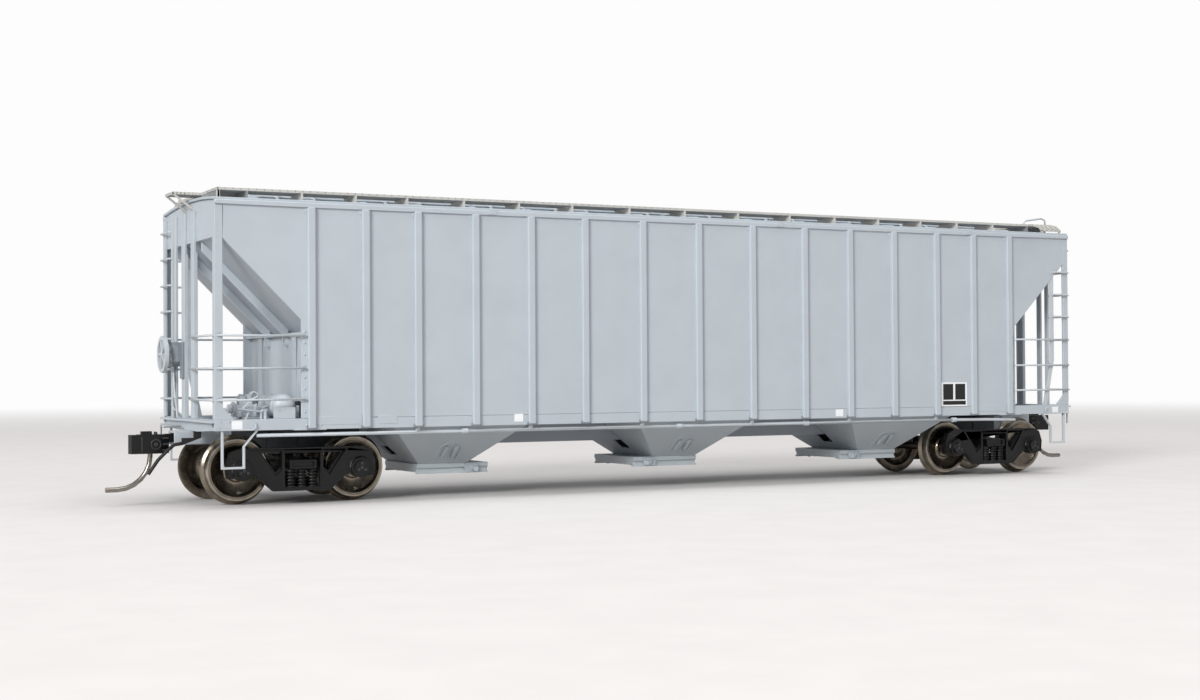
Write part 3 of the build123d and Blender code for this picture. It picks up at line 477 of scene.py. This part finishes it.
# Rounded edge of each CAD node that keeps its shape
rounded_nodes = {
    "side_near": 0.14, "side_far": 0.14, "side_sills": 0.08, "roof": 0.06, "hatch_coaming": 0.06,
    "hatch_covers": 0.08, "end_sheets": 0.06, "slope_sheets": 0.06, "bulkheads": 0.08,
    "ridge_sheets": 0.06, "end_posts": 0.06, "end_sills": 0.08, "centre_sill": 0.08,
    "body_bolsters": 0.06, "hopper_1": 0.08, "hopper_2": 0.08, "hopper_3": 0.08, "gate_1": 0.06,
    "gate_2": 0.06, "gate_3": 0.06, "ladders": 0.04, "grab_irons": 0.0, "stirrup_steps": 0.05,
    "draft_boxes": 0.08, "air_hoses": 0.0, "cut_levers": 0.0, "brake_wheel": 0.06,
    "brake_housing": 0.1, "brake_shelf": 0.05, "train_line": 0.0, "coupler_b": 0.12,
    "coupler_a": 0.12, "trip_pin_b": 0.0, "trip_pin_a": 0.0, "truck_bolster_b": 0.1,
    "truck_bolster_a": 0.1, "brake_beams_b": 0.08, "brake_beams_a": 0.08,
}
# Nodes of round wire, shaded smooth over larger angles
wires = (
    "grab_irons", "ladders", "air_hoses", "cut_levers", "trip_pin_b", "trip_pin_a", "train_line",
)
# Nodes with another paint than their slot's; the darker tones of the body bolsters, centre sill, brake
# housing and slope sheets are painted shade
own_paint = {
    "body_bolsters": underframe_shade_paint, "centre_sill": slope_shade_paint, "brake_housing": foot_shade_paint,
    "slope_sheets": slope_shade_paint, "gate_1": gate_paint, "gate_2": gate_paint, "gate_3": gate_paint,
}


def mouldings():
    """The CAD nodes that keep their shape, each as a copy with rounded edges in its place."""
    for node, width in rounded_nodes.items():
        finish(f"{node}_moulding", cad_shape(node), carrier[node], slot_of[node], width,
               material=own_paint.get(node), replaces=(node,), smooth=65 if node in wires else 35,
               unit=1.0)


def dress_nodes():
    """Give each CAD node its slot's material."""
    for node, slot in slot_of.items():
        piece = frame["nodes"][node]
        piece.data.materials.clear()
        piece.data.materials.append(slot_materials[slot])


def crown(y):
    """Height of the roof at one place across the car."""
    radius = (half_wide ** 2 + roof_rise ** 2) / (2 * roof_rise)
    return eave + roof_rise - radius + (radius ** 2 - y ** 2) ** 0.5


def grating(rim, mesh, low, high, along):
    """An open grating: a rim, deep bars one way and shallow rods the other way."""
    for axis in (0, 1):
        first, last = low[axis], high[axis]
        pitch = 2 * bar_pitch if axis == along else bar_pitch
        count = max(2, round((last - first) / pitch))
        for number in range(count + 1):
            edge = number in (0, count)
            deep = edge or axis != along
            start = first + (last - first - bar_thick) * number / count
            start -= bar_thick if number == count else 0
            corner_low = [low[0], low[1], walk_low if deep else walk_top - rod_deep]
            corner_high = [high[0], high[1], walk_top if deep else walk_top - rod_drop]
            corner_low[axis] = start
            corner_high[axis] = start + bar_thick * (2 if edge else 1)
            bar(rim if edge else mesh, corner_low, corner_high)


def corner_ramp(shape, sign):
    """The grating that slopes from a walk's end down to the car's corner, on two feet."""
    across = -sign
    near = min(sign * walk_end, sign * (walk_end - cross_walk))
    top = [(across * y, z) for y, z in corner_slope]
    count = round(cross_walk / (2 * bar_pitch))
    for number in range(count + 1):
        below = ramp_rim_deep if number in (0, count) else ramp_rod_deep
        strip(shape, top, 0, below, near + (cross_walk - ramp_rod) * number / count, ramp_rod)
    for (y0, z0), (y1, z1) in zip(top, top[1:]):
        steps = max(1, round(abs(y1 - y0) / bar_pitch))
        for step in range(1, steps + 1):
            y = y0 + (y1 - y0) * step / steps
            z = z0 + (z1 - z0) * step / steps
            bar(shape, (near, y - across * bar_thick, z - 0.43), (near + cross_walk, y, z - 0.02))
    foot_near, foot_far, foot_top = ramp_foot
    for x in bearer_places:
        bar(shape, (sign * x, across * foot_near, crown(foot_near)),
            (sign * (x + 0.4), across * foot_far, foot_top))


def walks():
    """Open roof walks on brackets, in place of the plain boards."""
    shape = bmesh.new()
    mesh = bmesh.new()
    for across in (-1, 1):
        near, far = sorted((across * walk_inner, across * walk_outer))
        grating(shape, mesh, (-walk_end, near), (walk_end, far), 0)
        bracket = [
            (across * walk_inner, walk_low), (across * walk_outer, walk_low),
            (across * walk_outer, crown(walk_outer) + bracket_gap),
            (across * walk_inner, crown(walk_inner) + bracket_gap),
        ]
        for x in post_places:
            prism(shape, bracket, 0, x - bracket_thick / 2, bracket_thick)
    for sign in (-1, 1):
        near, far = sorted((sign * (walk_end - cross_walk), sign * walk_end))
        grating(shape, mesh, (near, -walk_inner), (far, walk_inner), 1)
        for x in bearer_places:
            bar(mesh, (sign * x, -walk_outer, crown(walk_outer)),
                (sign * (x + bearer_wide), walk_outer, walk_low))
        near, far = sorted((sign * walk_end, sign * walk_tip))
        grating(shape, mesh, (near, -tip_half), (far, tip_half), 1)
        strut = [
            (sign * walk_tip, walk_low), (sign * (walk_tip - 0.5), walk_low),
            (sign * end_sheet, eave - 0.6), (sign * end_sheet, eave - 1.1),
        ]
        for y in (-tip_half, tip_half - bracket_thick):
            prism(shape, strut, 1, y, bracket_thick)
        for across in (-1, 1):
            bar(shape, (sign * (walk_end - 0.5), across * (walk_outer - 0.5), crown(walk_outer)),
                (sign * walk_end, across * walk_outer, walk_low))
        corner_ramp(shape, sign)
    finish("roof_walks", shape, car, "fittings_grey", 0.02, 1, walk_paint, ("running_boards",), 35)
    # The bars' darker tone is painted shade
    finish("walk_mesh", mesh, car, "fittings_grey", material=walk_mesh_shade_paint, smooth=35)


def hatches():
    """Straps, latches and hinges on the hatch covers, and seam strips on the roof."""
    # A latch's two blocks: half its length, then y and z of the low and the high corner
    latch_blocks = ((0.45, 4.0, 51.5, 5.0, 52.0), (0.22, 4.62, 51.7, 5.1, 52.75))
    straps = bmesh.new()
    length = (2 * hatch_end - (hatch_count - 1) * hatch_gap) / hatch_count
    arc = []
    for turn in range(9):
        y = -hatch_half + 2 * hatch_half * turn / 8
        arc.append((y, cover_rim + cover_crown * (1 - (y / hatch_half) ** 2)))
    for number in range(hatch_count):
        start = -hatch_end + number * (length + hatch_gap)
        for step in range(straps_a_cover):
            x = start + length * (step + 0.5) / straps_a_cover
            strip(straps, arc, strap_thick, strap_thick, x - strap_wide / 2, strap_wide)
            for across in (-1, 1):
                for half, low_y, low_z, high_y, high_z in latch_blocks:
                    bar(straps, (x - half, across * low_y, low_z), (x + half, across * high_y, high_z))
                hinge = across * 4.86
                tube(straps, ((x - 0.5, hinge, 52.3), (x + 0.5, hinge, 52.3)), 0.14)
    finish("hatch_straps", straps, car, "fittings_grey", 0.04, 1)
    seams = bmesh.new()
    for x in post_places:
        for across in (-1, 1):
            arc = [(across * y, crown(y)) for y in (4.0, 7.0, 10.0, 13.0, 15.5, 17.3)]
            strip(seams, arc, 0.12, 0.05, x - strap_wide / 2, strap_wide)
    finish("roof_seams", seams, car, "body_grey", 0.04, 1)


def rivets():
    """Rows of rivets on the end bays' posts, sills and end sheets."""
    # Rows on a side: x and z of the first rivet, step along X, step along Z, count, radius
    rows = (
        (bay_edge - 0.55, 15.6, 0.0, 1.9, 8, 0.26),
        (bay_edge - 0.9, sill_low + 0.75, -1.25, 0.0, 3, 0.24),
        (90.0, sill_high - 0.35, -1.4, 0.0, 2, 0.2),
        (90.5, 46.0, 0.0, -0.9, 5, 0.13),
    )
    shape = bmesh.new()
    for sign in (-1, 1):
        for across in (-1, 1):
            for x, z, step_x, step_z, count, radius in rows:
                for step in range(count):
                    spot = (sign * (x + step * step_x), across * half_wide, z + step * step_z)
                    dome(shape, spot, (0, across, 0), radius)
        for step in range(13):
            y = -15.0 + step * 2.5
            dome(shape, (sign * end_sheet, y, 45.0), (sign, 0, 0), 0.16)
            dome(shape, (sign * 91.0, y, 13.6), (sign, 0, 0), 0.16)
    finish("rivets", shape, car, "body_grey", smooth=60)


def post_feet():
    """Tabs at the side posts' feet, doubler plates on the sheets and joints in the side plates."""
    sill_plates = ((-73.9, -66.0), (-63.1, -59.7), (66.0, 73.9))
    eave_joints = (-42.0, 18.0, 64.0)
    tab_half = 0.85
    tab_reach = 0.62
    doubler_half = 1.0
    shape = bmesh.new()
    feet = bmesh.new()
    for across in (-1, 1):
        face = across * half_wide
        inner = face - across * 0.05
        outer = face + across * tab_reach
        tab = [
            (inner, sill_low + 0.02), (outer, sill_low + 0.02),
            (outer, sill_low + 0.3), (inner, sill_low + 0.55),
        ]
        for x in post_places:
            prism(feet, tab, 0, x - tab_half, 2 * tab_half)
            bar(shape, (x - doubler_half, inner, 48.6),
                (x + doubler_half, face + across * 0.12, 49.35))
        for low, high in sill_plates:
            bar(shape, (-across * low, inner, 13.4), (-across * high, face + across * 0.06, 14.8))
        for x in eave_joints:
            bar(shape, (x - 0.9, face, 49.5), (x + 0.9, face + across * 0.45, 50.2))
        for sign in (-1, 1):
            bar(shape, (sign * 72.2, across * 15.5, sill_low - 0.1),
                (sign * 77.8, face + across * 0.1, sill_low + 0.16))
    finish("side_doublers", shape, car, "body_grey", 0.04, 1)
    # The tabs' darker tone is painted shade
    finish("post_feet", feet, car, "body_grey", 0.04, 1, foot_shade_paint)


def plates():
    """Blank reflector patches and the blank two-panel plate on each side."""
    # Reflector patches: x and z of the middle, width, height
    patches = (
        (-87.35, 13.6, 1.8, 1.4), (-37.0, 13.95, 1.7, 1.35), (31.9, 13.7, 1.75, 1.35),
        (87.2, 13.5, 1.6, 1.2),
    )
    # The plate's white border, then its black panels: left, right, bottom, top
    border = (57.0, 63.6, 14.6, 19.42)
    panels = ((57.48, 60.01, 15.93, 19.12), (60.56, 63.11, 15.93, 19.12), (57.44, 63.23, 14.9, 15.68))
    white = bmesh.new()
    black = bmesh.new()
    for across in (-1, 1):
        turn = -across
        face = across * (half_wide + 0.01)
        for middle, z, wide, high in patches:
            bar(white, (turn * middle - wide / 2, face, z - high / 2),
                (turn * middle + wide / 2, face + across * 0.05, z + high / 2))
        left, right, low, high = border
        bar(white, (turn * left, face, low), (turn * right, face + across * 0.04, high))
        for left, right, low, high in panels:
            bar(black, (turn * left, face, low), (turn * right, face + across * 0.07, high))
    finish("reflector_patches", white, car, "body_grey", material=patch_paint)
    finish("blank_plates", black, car, "body_grey", material=plate_paint)


def reservoir():
    """The air reservoir with domed ends and bands, in place of the plain cylinder."""
    low, high = box_mm("air_reservoir")
    middle = middle_of("air_reservoir")
    size = high.x - middle.x
    wall = size - 0.1
    # A domed end: radius, distance from the tip
    end = ((0.02, 0.0), (0.5 * size, 0.12), (0.8 * size, 0.45), (0.95 * size, 0.95), (wall, 1.5))
    profile = [(radius, low.y + inward) for radius, inward in end]
    for band in (low.y + 2.2, low.y + 5.2, high.y - 2.6):
        profile += [(wall, band), (size, band + 0.06), (size, band + 0.8), (wall, band + 0.86)]
    profile += [(radius, high.y - inward) for radius, inward in reversed(end)]
    shape = bmesh.new()
    lathe(shape, profile, 48, 1)
    disc(shape, (0, low.y + 0.15, 0), (0, -1, 0), 0.4, 0.12, 12)
    finish("air_reservoir_tank", shape, car, "brake_grey", replaces=("air_reservoir",), smooth=40,
           place=(middle.x * mm, 0, middle.z * mm))


def valve():
    """The control valve's lobed body, in place of the plain block."""
    # Stubs: place, direction, radius, depth, sides
    stubs = (
        ((-86.5, -13.0, 16.2), (-1, 0, 0), 1.15, 0.5, 28),
        ((-87.0, -13.0, 16.2), (-1, 0, 0), 0.75, 0.7, 24),
        ((-83.3, -13.0, 16.1), (1, 0, 0), 1.0, 0.4, 28),
        ((-82.9, -13.0, 16.1), (1, 0, 0), 0.6, 0.5, 24),
        ((-85.4, -13.0, 17.4), (0, 0, 1), 0.8, 0.9, 24),
        ((-84.1, -12.8, 17.4), (0, 0, 1), 0.6, 1.2, 24),
        ((-85.4, -13.0, 18.3), (0, 0, 1), 0.5, 0.3, 20),
        ((-84.9, -14.1, 15.9), (0, -1, 0), 0.85, 0.4, 24),
        ((-84.9, -14.5, 15.9), (0, -1, 0), 0.4, 0.25, 6),
    )
    shape = bmesh.new()
    bar(shape, (-86.6, -14.2, 14.9), (-83.2, -11.8, 16.9))
    bar(shape, (-86.0, -13.9, 16.9), (-83.8, -12.1, 17.6))
    for stub in stubs:
        disc(shape, *stub)
    for turn in range(6):
        angle = math.radians(60 * turn)
        spot = (-86.85, -13.0 + 0.93 * math.cos(angle), 16.2 + 0.93 * math.sin(angle))
        disc(shape, spot, (-1, 0, 0), 0.13, 0.2, 6)
        spot = (-84.9 + 0.62 * math.cos(angle), -14.45, 15.9 + 0.62 * math.sin(angle))
        disc(shape, spot, (0, -1, 0), 0.1, 0.12, 6)
    finish("valve_body", shape, car, "brake_grey", 0.1, replaces=("control_valve",), smooth=35)


def brake_lines():
    """The air brake's pipes, handle and rods, and the train line's tail at the +X truck."""
    # Each one: radius, then its points
    lines = (
        (0.14, ((-84.4, -14.9, 18.6), (-83.9, -15.0, 19.0), (-83.3, -15.0, 18.7),
                (-83.1, -15.0, 18.3), (-83.6, -14.9, 18.0), (-84.4, -14.2, 17.7))),
        (0.15, ((-84.7, -15.0, 17.2), (-86.4, -15.0, 15.5))),
        (0.2, ((-84.5, -14.4, 16.3), (-84.6, -14.6, 15.6), (-85.2, -14.7, 14.3))),
        (0.14, ((-86.7, -15.2, 16.2), (-84.2, -15.3, 15.9), (-82.6, -15.3, 15.7))),
        (0.28, ((-82.5, -15.2, 15.95), (-82.1, -15.2, 15.9), (-82.0, -15.2, 15.6),
                (-82.0, -15.2, 14.1))),
        (0.17, ((-82.7, -15.2, 14.2), (-82.7, -15.2, 15.7))),
        (0.25, ((-82.4, -12.6, 16.1), (-81.6, -12.4, 16.3), (-80.4, -12.0, 16.6))),
        (0.25, ((-85.4, -13.0, 14.9), (-85.4, -12.0, 14.5), (-85.4, -6.0, 14.4), (-85.4, 1.0, 14.4))),
        (0.22, ((-87.4, -13.0, 16.2), (-88.2, -12.6, 16.1), (-88.6, -11.8, 15.6),
                (-88.6, -11.0, 14.5))),
        (0.18, ((-84.1, -12.8, 18.4), (-83.6, -12.2, 18.9), (-82.8, -11.4, 18.9),
                (-82.2, -10.6, 18.4))),
        (0.3, ((59.8, -17.0, 11.84), (68.0, -17.0, 11.78), (76.5, -17.0, 11.6))),
    )
    pipes = bmesh.new()
    for radius, points in lines:
        tube(pipes, points, radius)
    disc(pipes, (60.0, -17.0, 11.84), (1, 0, 0), 0.5, 1.0, 8)
    finish("brake_pipes", pipes, car, "fittings_grey", smooth=60)
    rods = bmesh.new()
    for x in (-81.9, -82.5):
        disc(rods, (x, -15.2, 15.7), (0, 0, 1), 0.38, 0.35, 6)
    bar(rods, (-80.9, -16.3, 14.5), (-77.2, -16.1, 16.4))
    disc(rods, (-80.0, -16.3, 15.9), (0, -1, 0), 0.2, 0.12, 6)
    finish("brake_fittings", rods, car, "brake_grey", 0.04)


def hand_brake():
    """Hub, chain rod and clevis of the hand brake, and bolts on its gear housing."""
    shape = bmesh.new()
    hub = middle_of("brake_wheel")
    face = box_mm("brake_wheel")[0].x
    disc(shape, (face + 0.05, hub.y, hub.z), (-1, 0, 0), 0.55, 0.1, 20)
    disc(shape, (face + 0.02, hub.y, hub.z), (-1, 0, 0), 0.28, 0.2, 6)
    for z in (23.6, 26.8):
        for y in (4.6, 8.0):
            disc(shape, (-92.5, y, z), (-1, 0, 0), 0.22, 0.12, 6)
    rod = ((-92.2, 4.9, 22.2), (-92.2, 4.5, 19.5), (-92.1, 4.0, 17.4), (-91.9, 3.4, 14.6))
    clevis = ((-92.2, 3.6, 17.8), (-92.2, 5.6, 18.6), (-92.2, 5.6, 16.4), (-92.2, 3.8, 15.8))
    tube(shape, rod, 0.16)
    tube(shape, clevis, 0.14)
    finish("hand_brake_gear", shape, car, "fittings_grey", 0.02, 1)


def coupler_details():
    """Pivot pins, rings, bosses and ribs on the couplers."""
    # Blocks on each side: along from the head and to, across from and to, z from and to
    blocks = (
        (0.3, 1.3, 1.45, 1.87, 9.1, 9.35), (0.3, 1.3, 1.45, 1.87, 10.05, 10.35),
        (0.3, 1.3, 1.45, 1.87, 11.1, 11.35), (4.6, 4.8, 1.25, 1.85, 8.94, 11.52),
        (1.9, 2.2, 0.35, 0.75, 11.82, 12.27),
    )
    ring_radius = 0.8
    for end, sign in (("b", -1), ("a", 1)):
        shape = bmesh.new()
        head = sign * coupler_head
        pin = (head + sign * 3.6, -sign * 1.35)
        disc(shape, (*pin, coupler_top), (0, 0, 1), 0.42, 0.12, 16)
        disc(shape, (*pin, coupler_bottom + 0.05), (0, 0, -1), 0.42, 0.05, 16)
        for across in (-1, 1):
            x = head + sign * 2.4
            y = across * 1.75
            ring = []
            for turn in range(13):
                angle = math.radians(30 * turn)
                ring.append((x + ring_radius * math.cos(angle), y + across * 0.08,
                             coupler_middle + ring_radius * math.sin(angle)))
            tube(shape, ring, 0.14, 6)
            disc(shape, (x, y, coupler_middle), (0, across, 0), 0.35, 0.26, 12)
            for near_x, far_x, near_y, far_y, low, high in blocks:
                bar(shape, (head + sign * near_x, across * near_y, low),
                    (head + sign * far_x, across * far_y, high))
        # The bosses' lighter black is painted highlight
        finish(f"coupler_{end}_bosses", shape, f"coupler_{end}", "coupler_black", 0.05,
               material=black_with_highlight)


def on_slope(z, out=0.0):
    """Place across the car on a hopper's side slope, and out from it."""
    return outlet_wide + (z - outlet_z) * side_slope + out


def outlet_details():
    """Lugs in their rings on the hoppers, and capstans, tracks and racks on the gates."""
    capstan_inset = 3.3
    shape = bmesh.new()
    rings = bmesh.new()
    for number, middle in enumerate(hopper_middles, 1):
        low, high = box_mm(f"gate_{number}")
        long_end, way = (high.x, -1) if number == 1 else (low.x, 1)
        for across in (-1, 1):
            face = across * outlet_wide
            x = long_end + way * capstan_inset
            z = (low.z + high.z) / 2
            bar(shape, (x - 1.3, face - across * 0.2, low.z + 0.1),
                (x + 1.3, face + across * 0.35, high.z - 0.1))
            disc(shape, (x, face, z), (0, across, 0), 0.62, 0.5, 20)
            disc(shape, (x, face + across * 0.5, z), (0, across, 0), 0.32, 0.3, 4)
            tube(shape, ((x + way * 0.5, face + across * 0.5, high.z - 0.3),
                         (x - way * 0.5, face + across * 0.65, low.z + 0.3)), 0.16)
            bar(shape, (low.x + 0.2, face - across * 0.2, low.z + 1.02),
                (high.x - 0.2, face + across * 0.1, low.z + 1.16))
            lug = [
                (across * on_slope(7.1, -0.1), 7.1), (across * on_slope(9.1, -0.1), 9.1),
                (across * on_slope(9.1, 0.5), 8.8), (across * on_slope(7.1, 0.9), 7.0),
            ]
            for side in (-0.9, 0.9):
                prism(rings, lug, 0, middle + side - 0.28, 0.56)
            arch = []
            for turn in range(13):
                angle = math.pi * turn / 12
                height = ring_spring + ring_rise * math.sin(angle)
                out = across * on_slope(height, 0.02)
                arch.append((middle + ring_reach * math.cos(angle), out, height))
            foot = across * on_slope(ring_foot, 0.02)
            first = (middle + ring_reach, foot, ring_foot)
            last = (middle - ring_reach, foot, ring_foot)
            tube(rings, [first] + arch + [last], 0.17)
        for step in range(9):
            x = low.x + 1.2 + step * 1.4
            for y in (-5.0, 5.0):
                bar(shape, (x, y - 0.3, low.z + 0.02), (x + 0.5, y + 0.3, low.z + 0.2))
    finish("gate_gear", shape, car, "body_grey", 0.04, 1)
    finish("hopper_lugs", rings, car, "body_grey", 0.04, 1, smooth=60)


def side_rods():
    """Rods along the sills at the corners, and bolts where the grab irons meet the posts."""
    # One rod's places along the car and up
    rod = ((90.6, 13.3), (90.2, 12.85), (84.9, 12.8), (84.4, 13.1), (84.3, 13.6), (84.6, 14.0))
    grab_heights = (17.69, 22.84, 28.19)
    shape = bmesh.new()
    for sign in (-1, 1):
        for across in (-1, 1):
            tube(shape, [(sign * x, across * 17.75, z) for x, z in rod], 0.14)
            for z in grab_heights:
                for x in (76.1, 90.4):
                    disc(shape, (sign * x, across * half_wide, z + 0.45), (0, across, 0), 0.16, 0.12, 6)
    finish("sill_rods", shape, car, "fittings_grey", smooth=60)


def painted_shade_webs():
    """Dark webs with ribs on the centre sill over the trucks: painted shade, a dark sheet where the
    underframe lies in shade.
    """
    webs = bmesh.new()
    for sign in (-1, 1):
        for across in (-1, 1):
            bar(webs, (sign * 61.0, across * 1.7, 9.1), (sign * 84.0, across * 1.95, 12.6))
            for x in (66.0, 72.0, 78.0):
                bar(webs, (sign * x, across * 1.9, 9.3), (sign * (x + 0.3), across * 2.15, 12.6))
    finish("painted_shade_webs", webs, car, "body_grey", 0.04, 1, underframe_shade_paint)


def wheels():
    """Turned wheels with dished plates, in place of the plain ones, each with a polished rim."""
    for node in sorted(name for name in frame["nodes"] if name.startswith("wheels_")):
        middle = middle_of(node)
        back = box_mm(node)[1].y - wheel_width
        shape = bmesh.new()
        rims = bmesh.new()
        for across in (-1, 1):
            for mesh, profile in ((shape, wheel_profile), (rims, rim_profile)):
                lathe(mesh, [(radius, back + place) for radius, place in profile], wheel_turns, across)
        place = (middle.x * mm, 0, middle.z * mm)
        finish(f"{node}_turned", shape, carrier[node], "wheel_metal", replaces=(node,), smooth=35,
               place=place)
        finish(f"{node}_rims", rims, carrier[node], "wheel_metal", material=rim_metal, smooth=35,
               place=place)


def coil(shape, middle, low, high):
    """One coil spring between two heights."""
    steps = spring_turns * steps_a_turn
    reach = spring_radius - spring_wire
    points = []
    for step in range(steps + 1):
        angle = 2 * math.pi * spring_turns * step / steps
        height = low + spring_wire + (high - low - 2 * spring_wire) * step / steps
        points.append((middle[0] + reach * math.cos(angle), middle[1] + reach * math.sin(angle), height))
    tube(shape, points, spring_wire, 6)


def springs():
    """Coil springs in the trucks, in place of the plain posts, each on a seat round a core."""
    up = (0, 0, 1)
    for node in ("springs_b", "springs_a"):
        low, high = box_mm(node)
        middle = middle_of(node)
        shape = bmesh.new()
        for across in (-1, 1):
            for row in range(spring_rows):
                place = (middle.x + (row - 1) * spring_pitch, across * (high.y - spring_radius))
                coil(shape, place, low.z, high.z)
                disc(shape, (*place, low.z), up, spring_radius, spring_seat, 20)
                disc(shape, (*place, low.z), up, spring_radius - 0.4, high.z - low.z, 16)
            wall = across * (high.y - 2 * spring_radius)
            bar(shape, (middle.x - tray_half, wall, low.z),
                (middle.x + tray_half, wall - across * tray_thick, low.z + tray_high))
        finish(f"{node}_coils", shape, carrier[node], "truck_black", replaces=(node,), smooth=60)


def sideframes():
    """Sideframes with raised rims round the webs, and bolts on the bearing caps."""
    for end in "ba":
        node = f"sideframes_{end}"
        shape = cad_shape(node)
        flat = [face for face in shape.faces if abs(face.normal.y) > 0.99]
        webs = [face for face in flat if face.calc_area() > web_area * mm * mm]
        outer = max(abs(face.calc_center_median().y) for face in webs)
        faces = [face for face in flat if abs(abs(face.calc_center_median().y) - outer) < 0.02 * mm]
        bmesh.ops.inset_region(shape, faces=faces, thickness=rim_wide * mm, depth=-rim_deep * mm,
                               use_even_offset=True)
        finish(f"{node}_casting", shape, carrier[node], "truck_black", 0.06, replaces=(node,),
               smooth=30, unit=1.0)
        bolts = bmesh.new()
        cap = box_mm(node)[1].y - 0.1
        for row in "12":
            axle = middle_of(f"axle_{end}{row}")
            for across in (-1, 1):
                outward = (0, across, 0)
                face = Vector((axle.x, across * cap, axle.z))
                for turn in range(3):
                    angle = math.radians(90 + 120 * turn)
                    spot = face + Vector((math.cos(angle), 0, math.sin(angle))) * cap_bolt_circle
                    disc(bolts, spot, outward, 0.26, 0.2, 6)
                disc(bolts, face, outward, 0.28, 0.14, 12)
        # The bolts' lighter black is painted highlight
        finish(f"cap_bolts_{end}", bolts, carrier[node], "truck_black", 0.03, material=black_with_highlight)


def floor_sheet():
    """A pale floor that fades to white with distance."""
    mesh = bpy.data.meshes.new("floor")
    corners = ((-1, -1), (1, -1), (1, 1), (-1, 1))
    mesh.from_pydata([(x * floor_half, y * floor_half, 0) for x, y in corners], [], [(0, 1, 2, 3)])
    sheet = bpy.data.objects.new("floor", mesh)
    bpy.context.scene.collection.objects.link(sheet)
    material, tree, shader = new_material("floor paper")
    dark_stop = (0.35, tone(shade(floor_tone, 0.985)))
    speck = ramp(tree, noise(tree, 9 * mm, 6), dark_stop, (0.65, tone(floor_tone)))
    tree.links.new(speck, shader.inputs["Base Color"])
    shader.inputs["Roughness"].default_value = 0.9
    place = add(tree, "ShaderNodeTexCoord")
    reach = add(tree, "ShaderNodeVectorMath", operation="LENGTH")
    tree.links.new(place.outputs["Object"], reach.inputs[0])
    fade = add(tree, "ShaderNodeMapRange", interpolation_type="SMOOTHSTEP")
    fade.inputs["From Min"].default_value = fade_start
    fade.inputs["From Max"].default_value = fade_end
    tree.links.new(reach.outputs["Value"], fade.inputs["Value"])
    rays = add(tree, "ShaderNodeLightPath")
    seen = add(tree, "ShaderNodeMath", operation="MAXIMUM")
    tree.links.new(rays.outputs["Is Camera Ray"], seen.inputs[0])
    tree.links.new(rays.outputs["Is Glossy Ray"], seen.inputs[1])
    amount = add(tree, "ShaderNodeMath", operation="MULTIPLY")
    tree.links.new(fade.outputs["Result"], amount.inputs[0])
    tree.links.new(seen.outputs["Value"], amount.inputs[1])
    white = add(tree, "ShaderNodeEmission", Strength=1.0)
    white.inputs["Color"].default_value = tone(white_tone)
    soft = add(tree, "ShaderNodeBsdfDiffuse", Color=tone(bounce_tone))
    bounce = add(tree, "ShaderNodeMixShader")
    tree.links.new(rays.outputs["Is Diffuse Ray"], bounce.inputs["Fac"])
    tree.links.new(shader.outputs["BSDF"], bounce.inputs[1])
    tree.links.new(soft.outputs["BSDF"], bounce.inputs[2])
    mix = add(tree, "ShaderNodeMixShader")
    out = tree.nodes["Material Output"]
    tree.links.new(amount.outputs["Value"], mix.inputs["Fac"])
    tree.links.new(bounce.outputs["Shader"], mix.inputs[1])
    tree.links.new(white.outputs["Emission"], mix.inputs[2])
    tree.links.new(mix.outputs["Shader"], out.inputs["Surface"])
    mesh.materials.append(material)


def area_light(name, place, target, size, power):
    """A soft square lamp aimed at a point."""
    lamp = bpy.data.lights.new(name, "AREA")
    lamp.size = size
    lamp.energy = power
    holder = bpy.data.objects.new(name, lamp)
    holder.location = place
    holder.rotation_euler = (Vector(target) - Vector(place)).to_track_quat("-Z", "Y").to_euler()
    bpy.context.scene.collection.objects.link(holder)


def lighting():
    """A light tent: the lamps, in a pale world that the camera sees as white."""
    for lamp in lamps:
        area_light(*lamp)
    world = bpy.data.worlds.new("tent")
    world.use_nodes = True
    bpy.context.scene.world = world
    tree = world.node_tree
    tree.nodes.clear()
    rays = add(tree, "ShaderNodeLightPath")
    seen = add(tree, "ShaderNodeMath", operation="MAXIMUM")
    glow = add(tree, "ShaderNodeBackground", Strength=sky_strength)
    white = add(tree, "ShaderNodeBackground", Strength=1.0)
    glow.inputs["Color"].default_value = tone(sky_tone)
    white.inputs["Color"].default_value = tone(white_tone)
    pick = add(tree, "ShaderNodeMixShader")
    out = add(tree, "ShaderNodeOutputWorld")
    tree.links.new(rays.outputs["Is Camera Ray"], seen.inputs[0])
    tree.links.new(rays.outputs["Is Transmission Ray"], seen.inputs[1])
    tree.links.new(seen.outputs["Value"], pick.inputs["Fac"])
    tree.links.new(glow.outputs["Background"], pick.inputs[1])
    tree.links.new(white.outputs["Background"], pick.inputs[2])
    tree.links.new(pick.outputs["Shader"], out.inputs["Surface"])


def camera():
    """The camera at the photograph's place."""
    level = math.cos(camera_pitch)
    forward = Vector((math.sin(camera_yaw) * level, math.cos(camera_yaw) * level,
                      math.sin(camera_pitch)))
    right = Vector((math.cos(camera_yaw), -math.sin(camera_yaw), 0))
    up = right.cross(forward)
    right_rolled = right * math.cos(camera_roll) + up * math.sin(camera_roll)
    up_rolled = up * math.cos(camera_roll) - right * math.sin(camera_roll)
    lens = bpy.data.cameras.new("camera")
    lens.sensor_width = sensor_width
    lens.lens = focal_pixels * sensor_width / photo_width
    lens.clip_start = nearest_seen
    lens.clip_end = farthest_seen
    holder = bpy.data.objects.new("camera", lens)
    turn = Matrix((right_rolled, up_rolled, -forward)).transposed().to_4x4()
    holder.matrix_world = Matrix.Translation(camera_place) @ turn
    bpy.context.scene.collection.objects.link(holder)
    bpy.context.scene.camera = holder


bpy.context.scene.view_settings.view_transform = "Standard"
camera()
dress_nodes()
mouldings()
walks()
hatches()
rivets()
post_feet()
plates()
reservoir()
valve()
brake_lines()
hand_brake()
coupler_details()
outlet_details()
side_rods()
painted_shade_webs()
wheels()
springs()
sideframes()
floor_sheet()
lighting()
